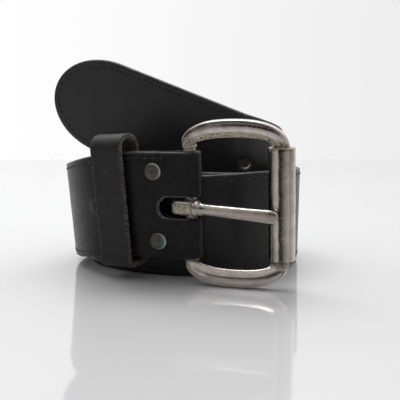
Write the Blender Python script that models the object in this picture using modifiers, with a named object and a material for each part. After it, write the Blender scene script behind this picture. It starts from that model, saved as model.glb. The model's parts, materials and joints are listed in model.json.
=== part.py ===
"""Leather belt, rolled up with its buckle outside and standing on its lower edge.

One long strap (a face leather glued and stitched to a lining) is folded round the heel bar of a
roller buckle and riveted to itself. A loose keeper loop slides on it behind the buckle. The strap
makes three turns, and its rounded tip leaves the inside of the coil and rises across it.

Everything is in metres, +Z up, and the buckle faces -Y. The origin is under the middle of the
belt's bounding box, on the surface that the belt stands on.
"""

import math

import bmesh
import bpy
from mathutils import Matrix, Vector

MM = 0.001
NAME = "leather_belt"

# Where the coil's axis stands, from the origin. BAR_AXIS and TIP_END are measured from its foot.
COIL_AXIS = Vector((4.8, 10.0, 0.0)) * MM

# Strap
STRAP_WIDTH = 45.0 * MM
FACE_THICKNESS = 1.8 * MM
LINING_THICKNESS = 1.2 * MM
PLY_GAP = 0.3 * MM

# Route of the strap, from the buckle to the tip. A turn angle is 0 in front and grows towards -X.
COIL_START = math.radians(80)
COIL_END = math.radians(985)
COIL_STEP = math.radians(6)
COIL_RADIUS = 57.0 * MM
COIL_PITCH = 4.6 * MM
PRESSED_IN = 8.0 * MM
PRESSED_AT = math.radians(28)
MEAN_LEAN = math.radians(2.7)
LEAN_SWING = math.radians(2.7)
LEANS_MOST_AT = math.radians(45)
# (turn angle in degrees, height of the lower edge in mm)
COIL_HEIGHTS = ((0, 11.0), (80, 4.0), (170, 1.5), (270, 1.6), (318, 1.6), (352, 0.3), (450, 0.0), (540, 0.0),
                (610, 0.0), (720, 1.5), (810, 3.4), (900, 9.0), (985, 18.6))
HEEL_YAW = math.radians(17)
HEEL_BEND_HANDLE = 0.36
HEEL_STRAIGHT = 20.0 * MM
TIP_END = Vector((-65.5, -3.0, 86.7)) * MM
TIP_YAW = math.radians(10.8)
TIP_CLIMB = math.radians(21.8)
TIP_LEAN = math.radians(6.7)
TIP_BEND_HANDLE = 0.45
TIP_BEND_OVER_CHORD = 1.12
TIP_STRAIGHT = 95.0 * MM
TIP_ROUNDING = 28.5 * MM
TWISTED_FROM = 215.0 * MM
TWISTED_TO = 86.0 * MM
TWISTED_STRIPS = 5

# Heel of the strap: the fold round the bar, its slot and its rivets, measured from the bar
BAR_AXIS = Vector((2.5, -59.3, 33.3)) * MM
BAR_RADIUS = 2.5 * MM
FOLD_SLACK = 0.5 * MM
FACE_MIDDLE = PLY_GAP / 2 + FACE_THICKNESS / 2
FOLD_RADIUS = BAR_RADIUS + FOLD_SLACK + FACE_THICKNESS / 2
FOLD_LENGTH = math.pi * FOLD_RADIUS
FOLD_BACK_END = 52.0 * MM
LINING_START = 13.5 * MM
SLOT_WIDTH = 9.2 * MM
SLOT_REACH = 13.3 * MM
SLOT_OFFSET = -0.8 * MM
# (name, distance from the bar, height from the strap's middle)
RIVETS = (("rivet_upper", 14.8 * MM, 14.4 * MM), ("rivet_lower", 13.5 * MM, -15.2 * MM),
          ("rivet_rear", 44.0 * MM, 0.0))
RIVET_CAP_RADIUS = 3.6 * MM
RIVET_CAP_THICKNESS = 0.9 * MM
RIVET_STEM_RADIUS = 1.6 * MM
RIVET_PIN_RADIUS = 0.7 * MM
RIVET_DISC_THICKNESS = 0.5 * MM
RIVET_STEM_SHORT = 0.5 * MM
RIVET_EDGE = 0.25 * MM
RIVET_SEGMENTS = 24

# Prong holes, measured from the tip's end
HOLE_FIRST = 102.0 * MM
HOLE_SPACING = 25.0 * MM
HOLE_COUNT = 5
HOLE_RADIUS = 2.3 * MM
PUNCH_REACH = 9.0 * MM

# Stitching thread along the strap's edge
THREAD_INSET = 2.6 * MM
THREAD_START = 9.0 * MM
THREAD_WIDTH = 0.8 * MM
THREAD_HEIGHT = 0.4 * MM
THREAD_CLEARANCE = 0.25 * MM

# Keeper loop
KEEPER_AT = 33.0 * MM
KEEPER_WIDTH = 15.8 * MM
KEEPER_UPRIGHT = math.radians(4.2)
KEEPER_WALL = 2.2 * MM
KEEPER_FRONT = 3.5 * MM
KEEPER_REAR = -5.9 * MM
KEEPER_TOP = 28.3 * MM
KEEPER_TOP_FLAT = 1.2 * MM
KEEPER_BOTTOM = -24.7 * MM
KEEPER_CORNER = 3.2 * MM

# Buckle, in its own frame: X from the heel bar to the roller, Y up along the bar, Z outwards
BUCKLE_LENGTH = 38.2 * MM
HEEL_BAR_END = 23.2 * MM
FRONT_BAR_END = 23.3 * MM
BOW_BASE_STEP = 0.3 * MM
BOW_INNER_BASE_STEP = 0.64 * MM
BOW_OUTER_POWER = 2.35
BOW_INNER_LEFT_POWER = 1.85
BOW_INNER_RIGHT_POWER = 2.6
BOW_END_THINNER = 0.4 * MM
BUCKLE_RIDES = 1.3 * MM
BOW_OUTER_HEIGHT = 34.5 * MM
BOW_INNER_HEIGHT = 27.1 * MM
BOW_OUTER_LEFT = -2.7 * MM
BOW_OUTER_RIGHT = 41.2 * MM
BOW_INNER_LEFT = 2.4 * MM
BOW_INNER_RIGHT = 33.9 * MM
BOW_HALF_THICKNESS = 2.9 * MM
BOW_RISE = 4.0 * MM
FRONT_BAR_RADIUS = 3.1 * MM
ROLLER_RADIUS = 5.4 * MM
ROLLER_BORE = 3.6 * MM
ROLLER_HALF = 22.9 * MM
ROLLER_SEAM = 0.35 * MM
ROLLER_SEAM_AT = 150

# Prong, in the same frame
PRONG_SKEW = math.radians(2.6)
PRONG_DROP = -2.1 * MM
PRONG_BORE = 2.9 * MM
PRONG_REST_GAP = 0.35 * MM

COLOURS = {
    "black_leather": ((0.018, 0.018, 0.020, 1.0), 0.38, 0.0),
    "lining_leather": ((0.022, 0.020, 0.019, 1.0), 0.62, 0.0),
    "thread": ((0.012, 0.012, 0.013, 1.0), 0.75, 0.0),
    "nickel": ((0.62, 0.58, 0.54, 1.0), 0.24, 1.0),
    "rivet_steel": ((0.20, 0.19, 0.16, 1.0), 0.34, 1.0),
}


# ---------------------------------------------------------------- scene, materials and small helpers

def clear_scene():
    for obj in list(bpy.data.objects):
        bpy.data.objects.remove(obj, do_unlink=True)


def new_collection(name):
    collection = bpy.data.collections.new(name)
    bpy.context.scene.collection.children.link(collection)
    return collection


def new_material(name, finish):
    colour, roughness, metallic = COLOURS[finish]
    material = bpy.data.materials.new(name)
    material.use_nodes = True
    shader = material.node_tree.nodes["Principled BSDF"]
    shader.inputs["Base Color"].default_value = colour
    shader.inputs["Roughness"].default_value = roughness
    shader.inputs["Metallic"].default_value = metallic
    material.diffuse_color = colour
    return material


def add_object(name, bm, finish, matrix=None):
    """Link a bmesh, made in its own local frame, as one named part."""
    bmesh.ops.recalc_face_normals(bm, faces=bm.faces[:])
    mesh = bpy.data.meshes.new(name)
    bm.to_mesh(mesh)
    bm.free()
    mesh.shade_smooth()
    mesh.set_sharp_from_angle(angle=math.radians(35))
    obj = bpy.data.objects.new(name, mesh)
    obj.data.materials.append(new_material(name, finish))
    if matrix is not None:
        obj.matrix_world = matrix
    parts.objects.link(obj)
    return obj


def add_cutter(name, bm, matrix):
    bmesh.ops.recalc_face_normals(bm, faces=bm.faces[:])
    mesh = bpy.data.meshes.new(name)
    bm.to_mesh(mesh)
    bm.free()
    obj = bpy.data.objects.new(name, mesh)
    obj.matrix_world = matrix
    obj.hide_render = True
    obj.display_type = "WIRE"
    cutters.objects.link(obj)
    return obj


def cut(target, cutter):
    modifier = target.modifiers.new(cutter.name, "BOOLEAN")
    modifier.operation = "DIFFERENCE"
    modifier.solver = "EXACT"
    modifier.object = cutter


def round_cutter(name, radius, low, high, matrix, segments=20):
    """A cylinder along the local Z axis, from low to high."""
    bm = bmesh.new()
    place = Matrix.Translation((0, 0, (low + high) / 2))
    bmesh.ops.create_cone(bm, cap_ends=True, segments=segments, radius1=radius, radius2=radius,
                          depth=high - low, matrix=place)
    return add_cutter(name, bm, matrix)


def loft(bm, rings, closed=False):
    """Join rings of equally many points with quads, and cap both ends unless the loft is closed."""
    rows = [[bm.verts.new(point) for point in ring] for ring in rings]
    count = len(rows[0])
    pairs = list(zip(rows, rows[1:]))
    if closed:
        pairs.append((rows[-1], rows[0]))
    for row, following in pairs:
        for i in range(count):
            j = (i + 1) % count
            bm.faces.new((row[i], row[j], following[j], following[i]))
    if not closed:
        bm.faces.new(rows[0][::-1])
        bm.faces.new(rows[-1])


def smoothstep(value):
    value = min(1.0, max(0.0, value))
    return value * value * (3 - 2 * value)


def through_keys(keys, x):
    """Smooth curve through (x, value) keys that is level at each key where it turns or runs flat."""
    xs = [key[0] for key in keys]
    ys = [key[1] for key in keys]
    last = len(keys) - 1
    i = max(0, min(last - 1, sum(1 for k in xs if k <= x) - 1))

    def slope(n):
        low, high = max(0, n - 1), min(last, n + 1)
        if low < n < high and (ys[n] - ys[low]) * (ys[high] - ys[n]) <= 0:
            return 0.0
        return (ys[high] - ys[low]) / (xs[high] - xs[low])

    span = xs[i + 1] - xs[i]
    t = (x - xs[i]) / span
    ease = t * t * (3 - 2 * t)
    near = t * (1 - t) ** 2 * span * slope(i)
    far = t * t * (t - 1) * span * slope(i + 1)
    return ys[i] * (1 - ease) + ys[i + 1] * ease + near + far


# ---------------------------------------------------------------- route of the strap

class Station:
    """One place along the strap: a point on the glue line, and the directions there."""

    def __init__(self, point, along, across, outward, distance):
        self.point = point
        self.along = along
        self.across = across
        self.outward = outward
        self.distance = distance

    def at(self, offset, height):
        return self.point + self.outward * offset + self.across * height

    def matrix(self, height=0.0):
        """Local X along the strap, Y across it and Z out of its face."""
        columns = (-self.along, self.across, self.outward)
        frame = Matrix([[column[i] for column in columns] for i in range(3)]).to_4x4()
        frame.translation = self.at(0.0, height)
        return frame


def heading(turn):
    return Vector((-math.cos(turn), math.sin(turn)))


def outward_at(turn):
    return Vector((-math.sin(turn), -math.cos(turn)))


def coil_lean(turn):
    return MEAN_LEAN + LEAN_SWING * math.cos(turn - LEANS_MOST_AT)


def coil_point(turn):
    """The glue line at a turn angle, where the second and third turns give way to the heel."""
    pressed = max(0.0, math.cos(turn - PRESSED_AT)) ** 2 if turn > math.radians(270) else 0.0
    radius = COIL_RADIUS - COIL_PITCH * (turn - COIL_START) / math.tau - PRESSED_IN * pressed
    return outward_at(turn) * radius + COIL_AXIS.xy


def coil_heading(turn):
    return (coil_point(turn + 0.001) - coil_point(turn - 0.001)).normalized()


def bezier(start, start_heading, end, end_heading, handle, t):
    reach = handle * (end - start).length
    a, b = start, start + start_heading * reach
    c, d = end - end_heading * reach, end
    return a * (1 - t) ** 3 + b * 3 * t * (1 - t) ** 2 + c * 3 * t * t * (1 - t) + d * t ** 3


def lower_edge(turn_degrees):
    return through_keys(COIL_HEIGHTS, turn_degrees) * MM


def coil_height(turn):
    """Height of the strap's middle, so that its lower edge is where COIL_HEIGHTS says."""
    lean = coil_lean(turn)
    return lower_edge(math.degrees(turn)) + STRAP_WIDTH / 2 * math.cos(lean) + FACE_THICKNESS * math.sin(lean)


def route_samples():
    """Points (x, y, z) and leans of the glue line from the heel bar to the tip's end."""
    samples = []
    glue = BAR_RADIUS + FOLD_SLACK - PLY_GAP / 2
    bar = COIL_AXIS.xy + BAR_AXIS.xy + outward_at(HEEL_YAW) * glue
    lean = coil_lean(HEEL_YAW)
    for i in range(5):
        reach = HEEL_STRAIGHT * i / 4
        samples.append((bar + heading(HEEL_YAW) * reach, BAR_AXIS.z, lean))

    start = bar + heading(HEEL_YAW) * HEEL_STRAIGHT
    end = coil_point(COIL_START)
    for i in range(1, 12):
        t = i / 12
        plan = bezier(start, heading(HEEL_YAW), end, coil_heading(COIL_START), HEEL_BEND_HANDLE, t)
        height = BAR_AXIS.z + (coil_height(COIL_START) - BAR_AXIS.z) * smoothstep(t)
        samples.append((plan, height, coil_lean(HEEL_YAW + (COIL_START - HEEL_YAW) * t)))

    steps = round((COIL_END - COIL_START) / COIL_STEP)
    for i in range(steps + 1):
        turn = COIL_START + (COIL_END - COIL_START) * i / steps
        samples.append((coil_point(turn), coil_height(turn), coil_lean(turn)))

    level = math.cos(TIP_CLIMB)
    tip_heading = Vector((-math.cos(TIP_YAW), math.sin(TIP_YAW)))
    straight = COIL_AXIS.xy + TIP_END.xy - tip_heading * TIP_STRAIGHT * level
    straight_height = TIP_END.z - TIP_STRAIGHT * math.sin(TIP_CLIMB)
    start = coil_point(COIL_END)
    start_height = coil_height(COIL_END)
    radius = (start - COIL_AXIS.xy).length
    start_slope = (start_height - coil_height(COIL_END - 0.1)) / (0.1 * radius)
    bend_length = TIP_BEND_OVER_CHORD * (straight - start).length
    for i in range(1, 18):
        t = i / 18
        plan = bezier(start, coil_heading(COIL_END), straight, tip_heading, TIP_BEND_HANDLE, t)
        rise = (start_height * (1 + 2 * t) * (1 - t) ** 2 + straight_height * t * t * (3 - 2 * t)
                + start_slope * bend_length * t * (1 - t) ** 2
                + math.tan(TIP_CLIMB) * bend_length * t * t * (t - 1))
        samples.append((plan, rise, coil_lean(COIL_END) + (TIP_LEAN - coil_lean(COIL_END)) * smoothstep(t)))

    reaches = [(TIP_STRAIGHT - TIP_ROUNDING) * i / 12 for i in range(13)]
    reaches += [TIP_STRAIGHT - TIP_ROUNDING * (1 - math.sin(math.radians(a))) for a in range(10, 81, 10)]
    reaches.append(TIP_STRAIGHT)
    for reach in reaches:
        plan = straight + tip_heading * reach * level
        samples.append((plan, straight_height + reach * math.sin(TIP_CLIMB), TIP_LEAN))
    return samples


def make_route():
    samples = route_samples()
    points = [Vector((plan.x, plan.y, height)) for plan, height, lean in samples]
    stations = []
    distance = 0.0
    for i, point in enumerate(points):
        before, after = points[max(0, i - 1)], points[min(len(points) - 1, i + 1)]
        along = (after - before).normalized()
        outward = Vector((-along.y, along.x, 0.0)).normalized()
        if i == 0:
            outward = outward_at(HEEL_YAW).to_3d()
        outward *= 1 if outward.cross(along).z < 0 else -1
        lean = samples[i][2]
        across = Vector((0, 0, math.cos(lean))) + outward * math.sin(lean)
        across = (across - along * across.dot(along)).normalized()
        if i:
            distance += (point - points[i - 1]).length
        stations.append(Station(point, along, across, across.cross(along).normalized(), distance))
    return stations


def station_at(distance):
    """The strap's place and directions at a distance from the heel bar, between two stations."""
    for before, after in zip(route, route[1:]):
        if after.distance >= distance:
            break
    t = (distance - before.distance) / (after.distance - before.distance)
    along = before.along.lerp(after.along, t).normalized()
    across = before.across.lerp(after.across, t)
    across = (across - along * across.dot(along)).normalized()
    return Station(before.point.lerp(after.point, t), along, across, across.cross(along), distance)


def half_width(distance, trim=0.0):
    """Half of the strap's width, which falls to nothing round the tip."""
    left = belt_length - distance - trim
    if left >= TIP_ROUNDING:
        return STRAP_WIDTH / 2 - trim
    run = (TIP_ROUNDING - max(0.0, left)) / TIP_ROUNDING
    return (STRAP_WIDTH / 2 - trim) * math.sqrt(max(0.0, 1 - run * run))


# ---------------------------------------------------------------- strap

# Both plies are cut and punched flat, and then rolled up. Flat space has X along the strap from the
# heel bar, Y across it and Z out of its face. The face ply's X is below 0 in its fold and beyond.

def to_fold(x, y, z):
    """A flat point of the face ply's fold, bent round the heel bar."""
    angle = -x / FOLD_RADIUS
    heel = route[0]
    axis = heel.at(FACE_MIDDLE - FOLD_RADIUS, y)
    out = heel.outward * math.cos(angle) - heel.along * math.sin(angle)
    return axis + out * (FOLD_RADIUS + z - FACE_MIDDLE)


def to_fold_back(x, y, z):
    """A flat point of the folded-back end, which settles behind the lining."""
    station = station_at(-x - FOLD_LENGTH)
    settled = -(LINING_THICKNESS + PLY_GAP * 1.5 + FACE_THICKNESS / 2)
    at_bar = FACE_MIDDLE - 2 * FOLD_RADIUS
    middle = at_bar + (settled - at_bar) * smoothstep(station.distance / (LINING_START - 1.5 * MM))
    return station.at(middle - (z - FACE_MIDDLE), y)


def rolled(point):
    x, y, z = point
    if x >= 0:
        return station_at(x).at(z, y)
    if x > -FOLD_LENGTH:
        return to_fold(x, y, z)
    return to_fold_back(x, y, z)


def flat_ply(name, xs, low, high):
    """A flat strip with a crosswise edge at each x, and the tip's rounded end."""
    bm = bmesh.new()
    rings = []
    for x in xs:
        half = max(half_width(x), 1.2 * MM)
        rings.append([(x, -half, high), (x, half, high), (x, half, low), (x, -half, low)])
    loft(bm, rings)
    for i in range(1, TWISTED_STRIPS):
        y = STRAP_WIDTH * (i / TWISTED_STRIPS - 0.5)
        twisted = [face for face in bm.faces
                   if TWISTED_TO < belt_length - face.calc_center_median().x < TWISTED_FROM]
        edges = {edge for face in twisted for edge in face.edges}
        verts = {vert for face in twisted for vert in face.verts}
        bmesh.ops.bisect_plane(bm, geom=[*verts, *edges, *twisted], plane_co=(0, y, 0), plane_no=(0, 1, 0))
    bmesh.ops.recalc_face_normals(bm, faces=bm.faces[:])
    mesh = bpy.data.meshes.new(name + "_flat")
    bm.to_mesh(mesh)
    bm.free()
    flat = bpy.data.objects.new(name + "_flat", mesh)
    cutters.objects.link(flat)
    return flat


def roll_up(name, flat, finish):
    """Bend a punched flat ply along the route, as a part of its own."""
    bpy.context.view_layer.update()
    punched = flat.evaluated_get(bpy.context.evaluated_depsgraph_get())
    bm = bmesh.new()
    bm.from_mesh(punched.to_mesh())
    for vert in bm.verts:
        vert.co = rolled(vert.co)
    bpy.data.objects.remove(flat, do_unlink=True)
    return add_object(name, bm, finish)


def punch(flat, name, x, y, radius):
    place = Matrix.Translation((x, y, 0))
    cut(flat, round_cutter(f"cut_{flat.name}_{name}", radius, -PUNCH_REACH, PUNCH_REACH, place, 16))


def punch_slot(flat):
    """The oblong hole at the fold, which the prong comes out of."""
    radius = SLOT_WIDTH / 2
    near, far = -FOLD_LENGTH - SLOT_REACH + radius, SLOT_REACH - radius
    turns = [math.radians(15 * i) for i in range(13)]
    outline = [(far + radius * math.sin(a), SLOT_OFFSET + radius * math.cos(a)) for a in turns]
    outline += [(near - radius * math.sin(a), SLOT_OFFSET - radius * math.cos(a)) for a in turns]
    bm = bmesh.new()
    loft(bm, [[(x, y, z) for x, y in outline] for z in (-PUNCH_REACH, PUNCH_REACH)])
    cut(flat, add_cutter("cut_slot", bm, Matrix()))


def punch_rivet_holes(flat, side):
    for name, distance, height in RIVETS:
        x = distance if side == "front" else -FOLD_LENGTH - distance
        punch(flat, f"{name}_{side}", x, height, RIVET_STEM_RADIUS + PLY_GAP)


def punch_prong_holes(flat):
    for i in range(HOLE_COUNT):
        punch(flat, f"prong_hole_{i + 1}", belt_length - HOLE_FIRST - HOLE_SPACING * i, 0.0, HOLE_RADIUS)


def make_strap_face():
    route_xs = [station.distance for station in route]
    fold_xs = [-FOLD_LENGTH * i / 12 for i in range(1, 13)]
    back_xs = [-FOLD_LENGTH - x for x in route_xs if 0 < x < FOLD_BACK_END - 2 * MM]
    xs = sorted(back_xs + [-FOLD_LENGTH - FOLD_BACK_END] + fold_xs + route_xs)
    flat = flat_ply("strap_face", xs, PLY_GAP / 2, PLY_GAP / 2 + FACE_THICKNESS)
    punch_slot(flat)
    punch_rivet_holes(flat, "front")
    punch_rivet_holes(flat, "back")
    punch_prong_holes(flat)
    return roll_up("strap_face", flat, "black_leather")


def make_strap_lining():
    xs = [LINING_START] + [s.distance for s in route if s.distance > LINING_START + 1 * MM]
    flat = flat_ply("strap_lining", xs, -PLY_GAP / 2 - LINING_THICKNESS, -PLY_GAP / 2)
    punch_rivet_holes(flat, "front")
    punch_prong_holes(flat)
    return roll_up("strap_lining", flat, "lining_leather")


def make_edge_thread():
    """The stitching along the lower edge, round the tip and back along the upper edge."""
    low = PLY_GAP / 2 + FACE_THICKNESS + THREAD_CLEARANCE
    turn_start = belt_length - THREAD_INSET - TIP_ROUNDING
    straight = [station_at(THREAD_START)]
    straight += [s for s in route if THREAD_START + 1 * MM < s.distance < turn_start - 1 * MM]
    turn = [station_at(turn_start + TIP_ROUNDING * math.sin(math.radians(a))) for a in range(0, 90, 9)]
    end = station_at(belt_length - THREAD_INSET)
    places = [(s, -half_width(s.distance, THREAD_INSET)) for s in straight + turn]
    places += [(end, 0.0)]
    places += [(s, half_width(s.distance, THREAD_INSET)) for s in reversed(straight + turn)]
    rings = []
    for i, (station, height) in enumerate(places):
        before = places[max(0, i - 1)]
        after = places[min(len(places) - 1, i + 1)]
        along = (after[0].at(low, after[1]) - before[0].at(low, before[1])).normalized()
        side = station.outward.cross(along).normalized() * (THREAD_WIDTH / 2)
        base = station.at(low, height)
        rings.append([base - side, base + side, base + station.outward * THREAD_HEIGHT])
    bm = bmesh.new()
    loft(bm, rings)
    return add_object("edge_thread", bm, "thread")


# ---------------------------------------------------------------- rivets

def turned(name, profile, finish, matrix):
    """A solid of revolution about the local Z axis, from (radius, height) points down its outer side."""
    mesh = bpy.data.meshes.new(name)
    points = [(radius, 0.0, height) for radius, height in profile]
    mesh.from_pydata(points, [(i, i + 1) for i in range(len(points) - 1)], [])
    obj = bpy.data.objects.new(name, mesh)
    obj.data.materials.append(new_material(name, finish))
    obj.matrix_world = matrix
    parts.objects.link(obj)
    screw = obj.modifiers.new("turn", "SCREW")
    screw.steps = RIVET_SEGMENTS
    screw.render_steps = RIVET_SEGMENTS
    screw.use_smooth_shade = True
    screw.use_merge_vertices = True
    screw.merge_threshold = 0.01 * MM
    return obj


def make_rivet(name, distance, height):
    """A cap whose hollow stem goes through the leather, and a back disc with a pin inside the stem."""
    front = PLY_GAP / 2 + FACE_THICKNESS + PLY_GAP
    back = -(LINING_THICKNESS + PLY_GAP * 1.5 + FACE_THICKNESS) - PLY_GAP
    rim = RIVET_CAP_RADIUS
    bore = RIVET_PIN_RADIUS + PLY_GAP
    crown = front + RIVET_CAP_THICKNESS
    stem_end = back + RIVET_STEM_SHORT
    cap = [(0, crown), (rim * 0.55, crown - RIVET_EDGE / 4),
           (rim - RIVET_EDGE, front + RIVET_CAP_THICKNESS * 0.7), (rim, front + RIVET_EDGE),
           (rim - RIVET_EDGE, front), (RIVET_STEM_RADIUS, front),
           (RIVET_STEM_RADIUS, stem_end), (bore, stem_end), (bore, front), (0, front)]
    disc_end = back - RIVET_DISC_THICKNESS
    pin_end = front - RIVET_STEM_SHORT
    post = [(0, pin_end), (RIVET_PIN_RADIUS, pin_end), (RIVET_PIN_RADIUS, back), (rim - RIVET_EDGE, back),
            (rim, back - RIVET_DISC_THICKNESS / 2), (rim - RIVET_EDGE, disc_end), (0, disc_end)]
    place = station_at(distance).matrix(height)
    turned(f"{name}_cap", cap, "rivet_steel", place)
    turned(f"{name}_post", post, "rivet_steel", place)


# ---------------------------------------------------------------- keeper

def make_keeper():
    """A closed band round the strap, open along it."""
    station = station_at(KEEPER_AT)
    low_z, high_z = KEEPER_REAR - KEEPER_WALL, KEEPER_FRONT + KEEPER_WALL
    low_y, high_y = KEEPER_BOTTOM - KEEPER_WALL, KEEPER_TOP + KEEPER_WALL
    round_top = (high_z - low_z - KEEPER_TOP_FLAT) / 2
    corners = ((low_y, high_z, KEEPER_CORNER, 270), (high_y, high_z, round_top, 0),
               (high_y, low_z, round_top, 90), (low_y, low_z, KEEPER_CORNER, 180))
    outline = []
    for y, z, radius, start in corners:
        centre_y = y - radius if y > 0 else y + radius
        centre_z = z - radius if z > 0 else z + radius
        for i in range(7):
            angle = math.radians(start + 15 * i)
            outline.append((centre_y + radius * math.sin(angle), centre_z + radius * math.cos(angle)))
    bm = bmesh.new()
    rows = [[bm.verts.new((x, y, z)) for y, z in outline] for x in (-KEEPER_WIDTH / 2, KEEPER_WIDTH / 2)]
    for i in range(len(outline)):
        j = (i + 1) % len(outline)
        bm.faces.new((rows[0][i], rows[0][j], rows[1][j], rows[1][i]))
    place = station.matrix() @ Matrix.Rotation(-KEEPER_UPRIGHT, 4, "Z")
    keeper = add_object("keeper_loop", bm, "black_leather", place)
    solid = keeper.modifiers.new("leather_thickness", "SOLIDIFY")
    solid.thickness = KEEPER_WALL
    solid.offset = -1
    solid.use_even_offset = True
    return keeper


# ---------------------------------------------------------------- buckle

def arch(t, left, right, top, left_power, right_power, lift):
    """A flattened arch from the heel bar's end over top to the front bar's end, for t from 0 to 1."""
    power = left_power if t < 0.5 else right_power
    base = HEEL_BAR_END + (FRONT_BAR_END - HEEL_BAR_END) * t + lift
    angle = math.pi * (1 - t)
    c, s = math.cos(angle), math.sin(angle)
    x = (left + right) / 2 + (right - left) / 2 * math.copysign(abs(c) ** (2 / power), c)
    return x, base + (top - base) * abs(s) ** (2 / power)


def bow_stations(steps=14):
    """(outer point, inner point, half thickness, rise) over the upper bow, left to right."""
    stations = []
    for i in range(steps + 1):
        t = i / steps
        outer = arch(t, BOW_OUTER_LEFT, BOW_OUTER_RIGHT, BOW_OUTER_HEIGHT, BOW_OUTER_POWER, BOW_OUTER_POWER,
                     BOW_BASE_STEP)
        inner = arch(t, BOW_INNER_LEFT, BOW_INNER_RIGHT, BOW_INNER_HEIGHT, BOW_INNER_LEFT_POWER,
                     BOW_INNER_RIGHT_POWER, BOW_INNER_BASE_STEP)
        swell = math.sin(math.pi * t) ** 0.5
        stations.append((outer, inner, BOW_HALF_THICKNESS - BOW_END_THINNER * (1 - swell), BOW_RISE * swell))
    return stations


def make_buckle_frame():
    """One casting: heel bar, two bows and the front bar that the roller turns on."""
    top = bow_stations()
    bottom = [((o[0], -o[1]), (i[0], -i[1]), h, r) for o, i, h, r in top]
    front = []
    for y in (FRONT_BAR_END, -FRONT_BAR_END):
        front.append(((BUCKLE_LENGTH + FRONT_BAR_RADIUS, y), (BUCKLE_LENGTH - FRONT_BAR_RADIUS, y),
                      FRONT_BAR_RADIUS, 0.0))
    heel = []
    for y in (-HEEL_BAR_END, HEEL_BAR_END):
        heel.append(((-BAR_RADIUS, y), (BAR_RADIUS, y), BAR_RADIUS, 0.0))
    rings = []
    for outer, inner, thick, rise in top + front + bottom[::-1] + heel:
        centre = Vector(((outer[0] + inner[0]) / 2, (outer[1] + inner[1]) / 2, rise))
        reach = Vector(((outer[0] - inner[0]) / 2, (outer[1] - inner[1]) / 2, 0.0))
        ring = []
        for k in range(14):
            angle = math.tau * k / 14
            ring.append(centre + reach * math.cos(angle) + Vector((0, 0, thick)) * math.sin(angle))
        rings.append(ring)
    bm = bmesh.new()
    loft(bm, rings, closed=True)
    return add_object("buckle_frame", bm, "nickel", buckle_matrix)


def make_roller():
    """A tube rolled from sheet, with a narrow open seam, free on the front bar."""
    seam = math.degrees(ROLLER_SEAM / ROLLER_RADIUS)
    angles = [math.radians(ROLLER_SEAM_AT + seam / 2 + (360 - seam) * i / 40) for i in range(41)]
    outline = [(ROLLER_RADIUS * math.cos(a), ROLLER_RADIUS * math.sin(a)) for a in angles]
    outline += [(ROLLER_BORE * math.cos(a), ROLLER_BORE * math.sin(a)) for a in reversed(angles)]
    bm = bmesh.new()
    loft(bm, [[(x, y, z) for x, y in outline] for z in (-ROLLER_HALF, ROLLER_HALF)])
    upright = Matrix.Rotation(math.radians(-90), 4, "X")
    place = buckle_matrix @ Matrix.Translation((BUCKLE_LENGTH, 0, 0)) @ upright
    return add_object("buckle_roller", bm, "nickel", place)


def make_prong():
    """Cast prong: a block round the heel bar, a collar, and a shaft that lies on the roller."""
    rest = ROLLER_RADIUS + PRONG_REST_GAP
    # (distance along, half width across, underside, top) in mm; the shaft widens to its blunt tip
    sections = ((-8.3, 1.6, -1.6, 1.8), (-7.9, 2.6, -3.0, 3.3), (-6.4, 3.3, -4.1, 4.7),
                (-3.2, 3.4, -4.6, 5.5),
                (-0.5, 3.4, -4.6, 5.9), (1.2, 3.1, -4.3, 6.1), (2.1, 3.5, -3.9, 6.6), (3.3, 3.5, -2.9, 6.8),
                (4.2, 2.5, -0.6, 6.3), (7.0, 2.35, 1.6, 6.2), (16.0, 2.4, 3.1, 7.2), (26.0, 2.5, 4.6, 8.3),
                (33.5, 2.7, 5.75, 9.1), (36.2, 2.6, 5.75, 9.1), (37.4, 2.1, 5.9, 8.6), (38.0, 1.2, 6.3, 7.9))
    rings = []
    for x, half, low, high in sections:
        x, half, low, high = x * MM, half * MM, low * MM, high * MM
        if x > BUCKLE_LENGTH - 6 * MM:
            low = max(low, rest)
        drop = PRONG_DROP - math.tan(PRONG_SKEW) * max(0.0, x)
        ring = []
        for k in range(16):
            angle = math.tau * k / 16
            c, s = math.cos(angle), math.sin(angle)
            y = half * math.copysign(abs(c) ** 0.75, c) + drop
            z = (low + high) / 2 + (high - low) / 2 * math.copysign(abs(s) ** 0.75, s)
            ring.append((x, y, z))
        rings.append(ring)
    bm = bmesh.new()
    loft(bm, rings)
    prong = add_object("buckle_prong", bm, "nickel", buckle_matrix)
    upright = buckle_matrix @ Matrix.Rotation(math.radians(-90), 4, "X")
    cut(prong, round_cutter("cut_prong_bore", PRONG_BORE, -8 * MM, 8 * MM, upright, 28))
    return prong


# ---------------------------------------------------------------- build

clear_scene()
parts = new_collection(NAME)
cutters = new_collection(NAME + "_cutters")
route = make_route()
belt_length = route[-1].distance
glue_offset = BAR_RADIUS + FOLD_SLACK - PLY_GAP / 2
buckle_matrix = route[0].matrix(BUCKLE_RIDES) @ Matrix.Translation((0, 0, -glue_offset))

make_strap_face()
make_strap_lining()
make_edge_thread()
for rivet in RIVETS:
    make_rivet(*rivet)
make_keeper()
make_buckle_frame()
make_roller()
make_prong()
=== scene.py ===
"""Looks of the rolled leather belt: leather plies, stitches, keeper, rivets and the worn nickel buckle.

The strap's plies and seams are made flat, with X along the strap from the heel bar, Y across it and
Z out of its face, and are then rolled up along the same route as the design's strap.
"""

import bisect
import json
import math
import random

import bmesh
import bpy
from mathutils import Matrix, Vector, noise


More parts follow.
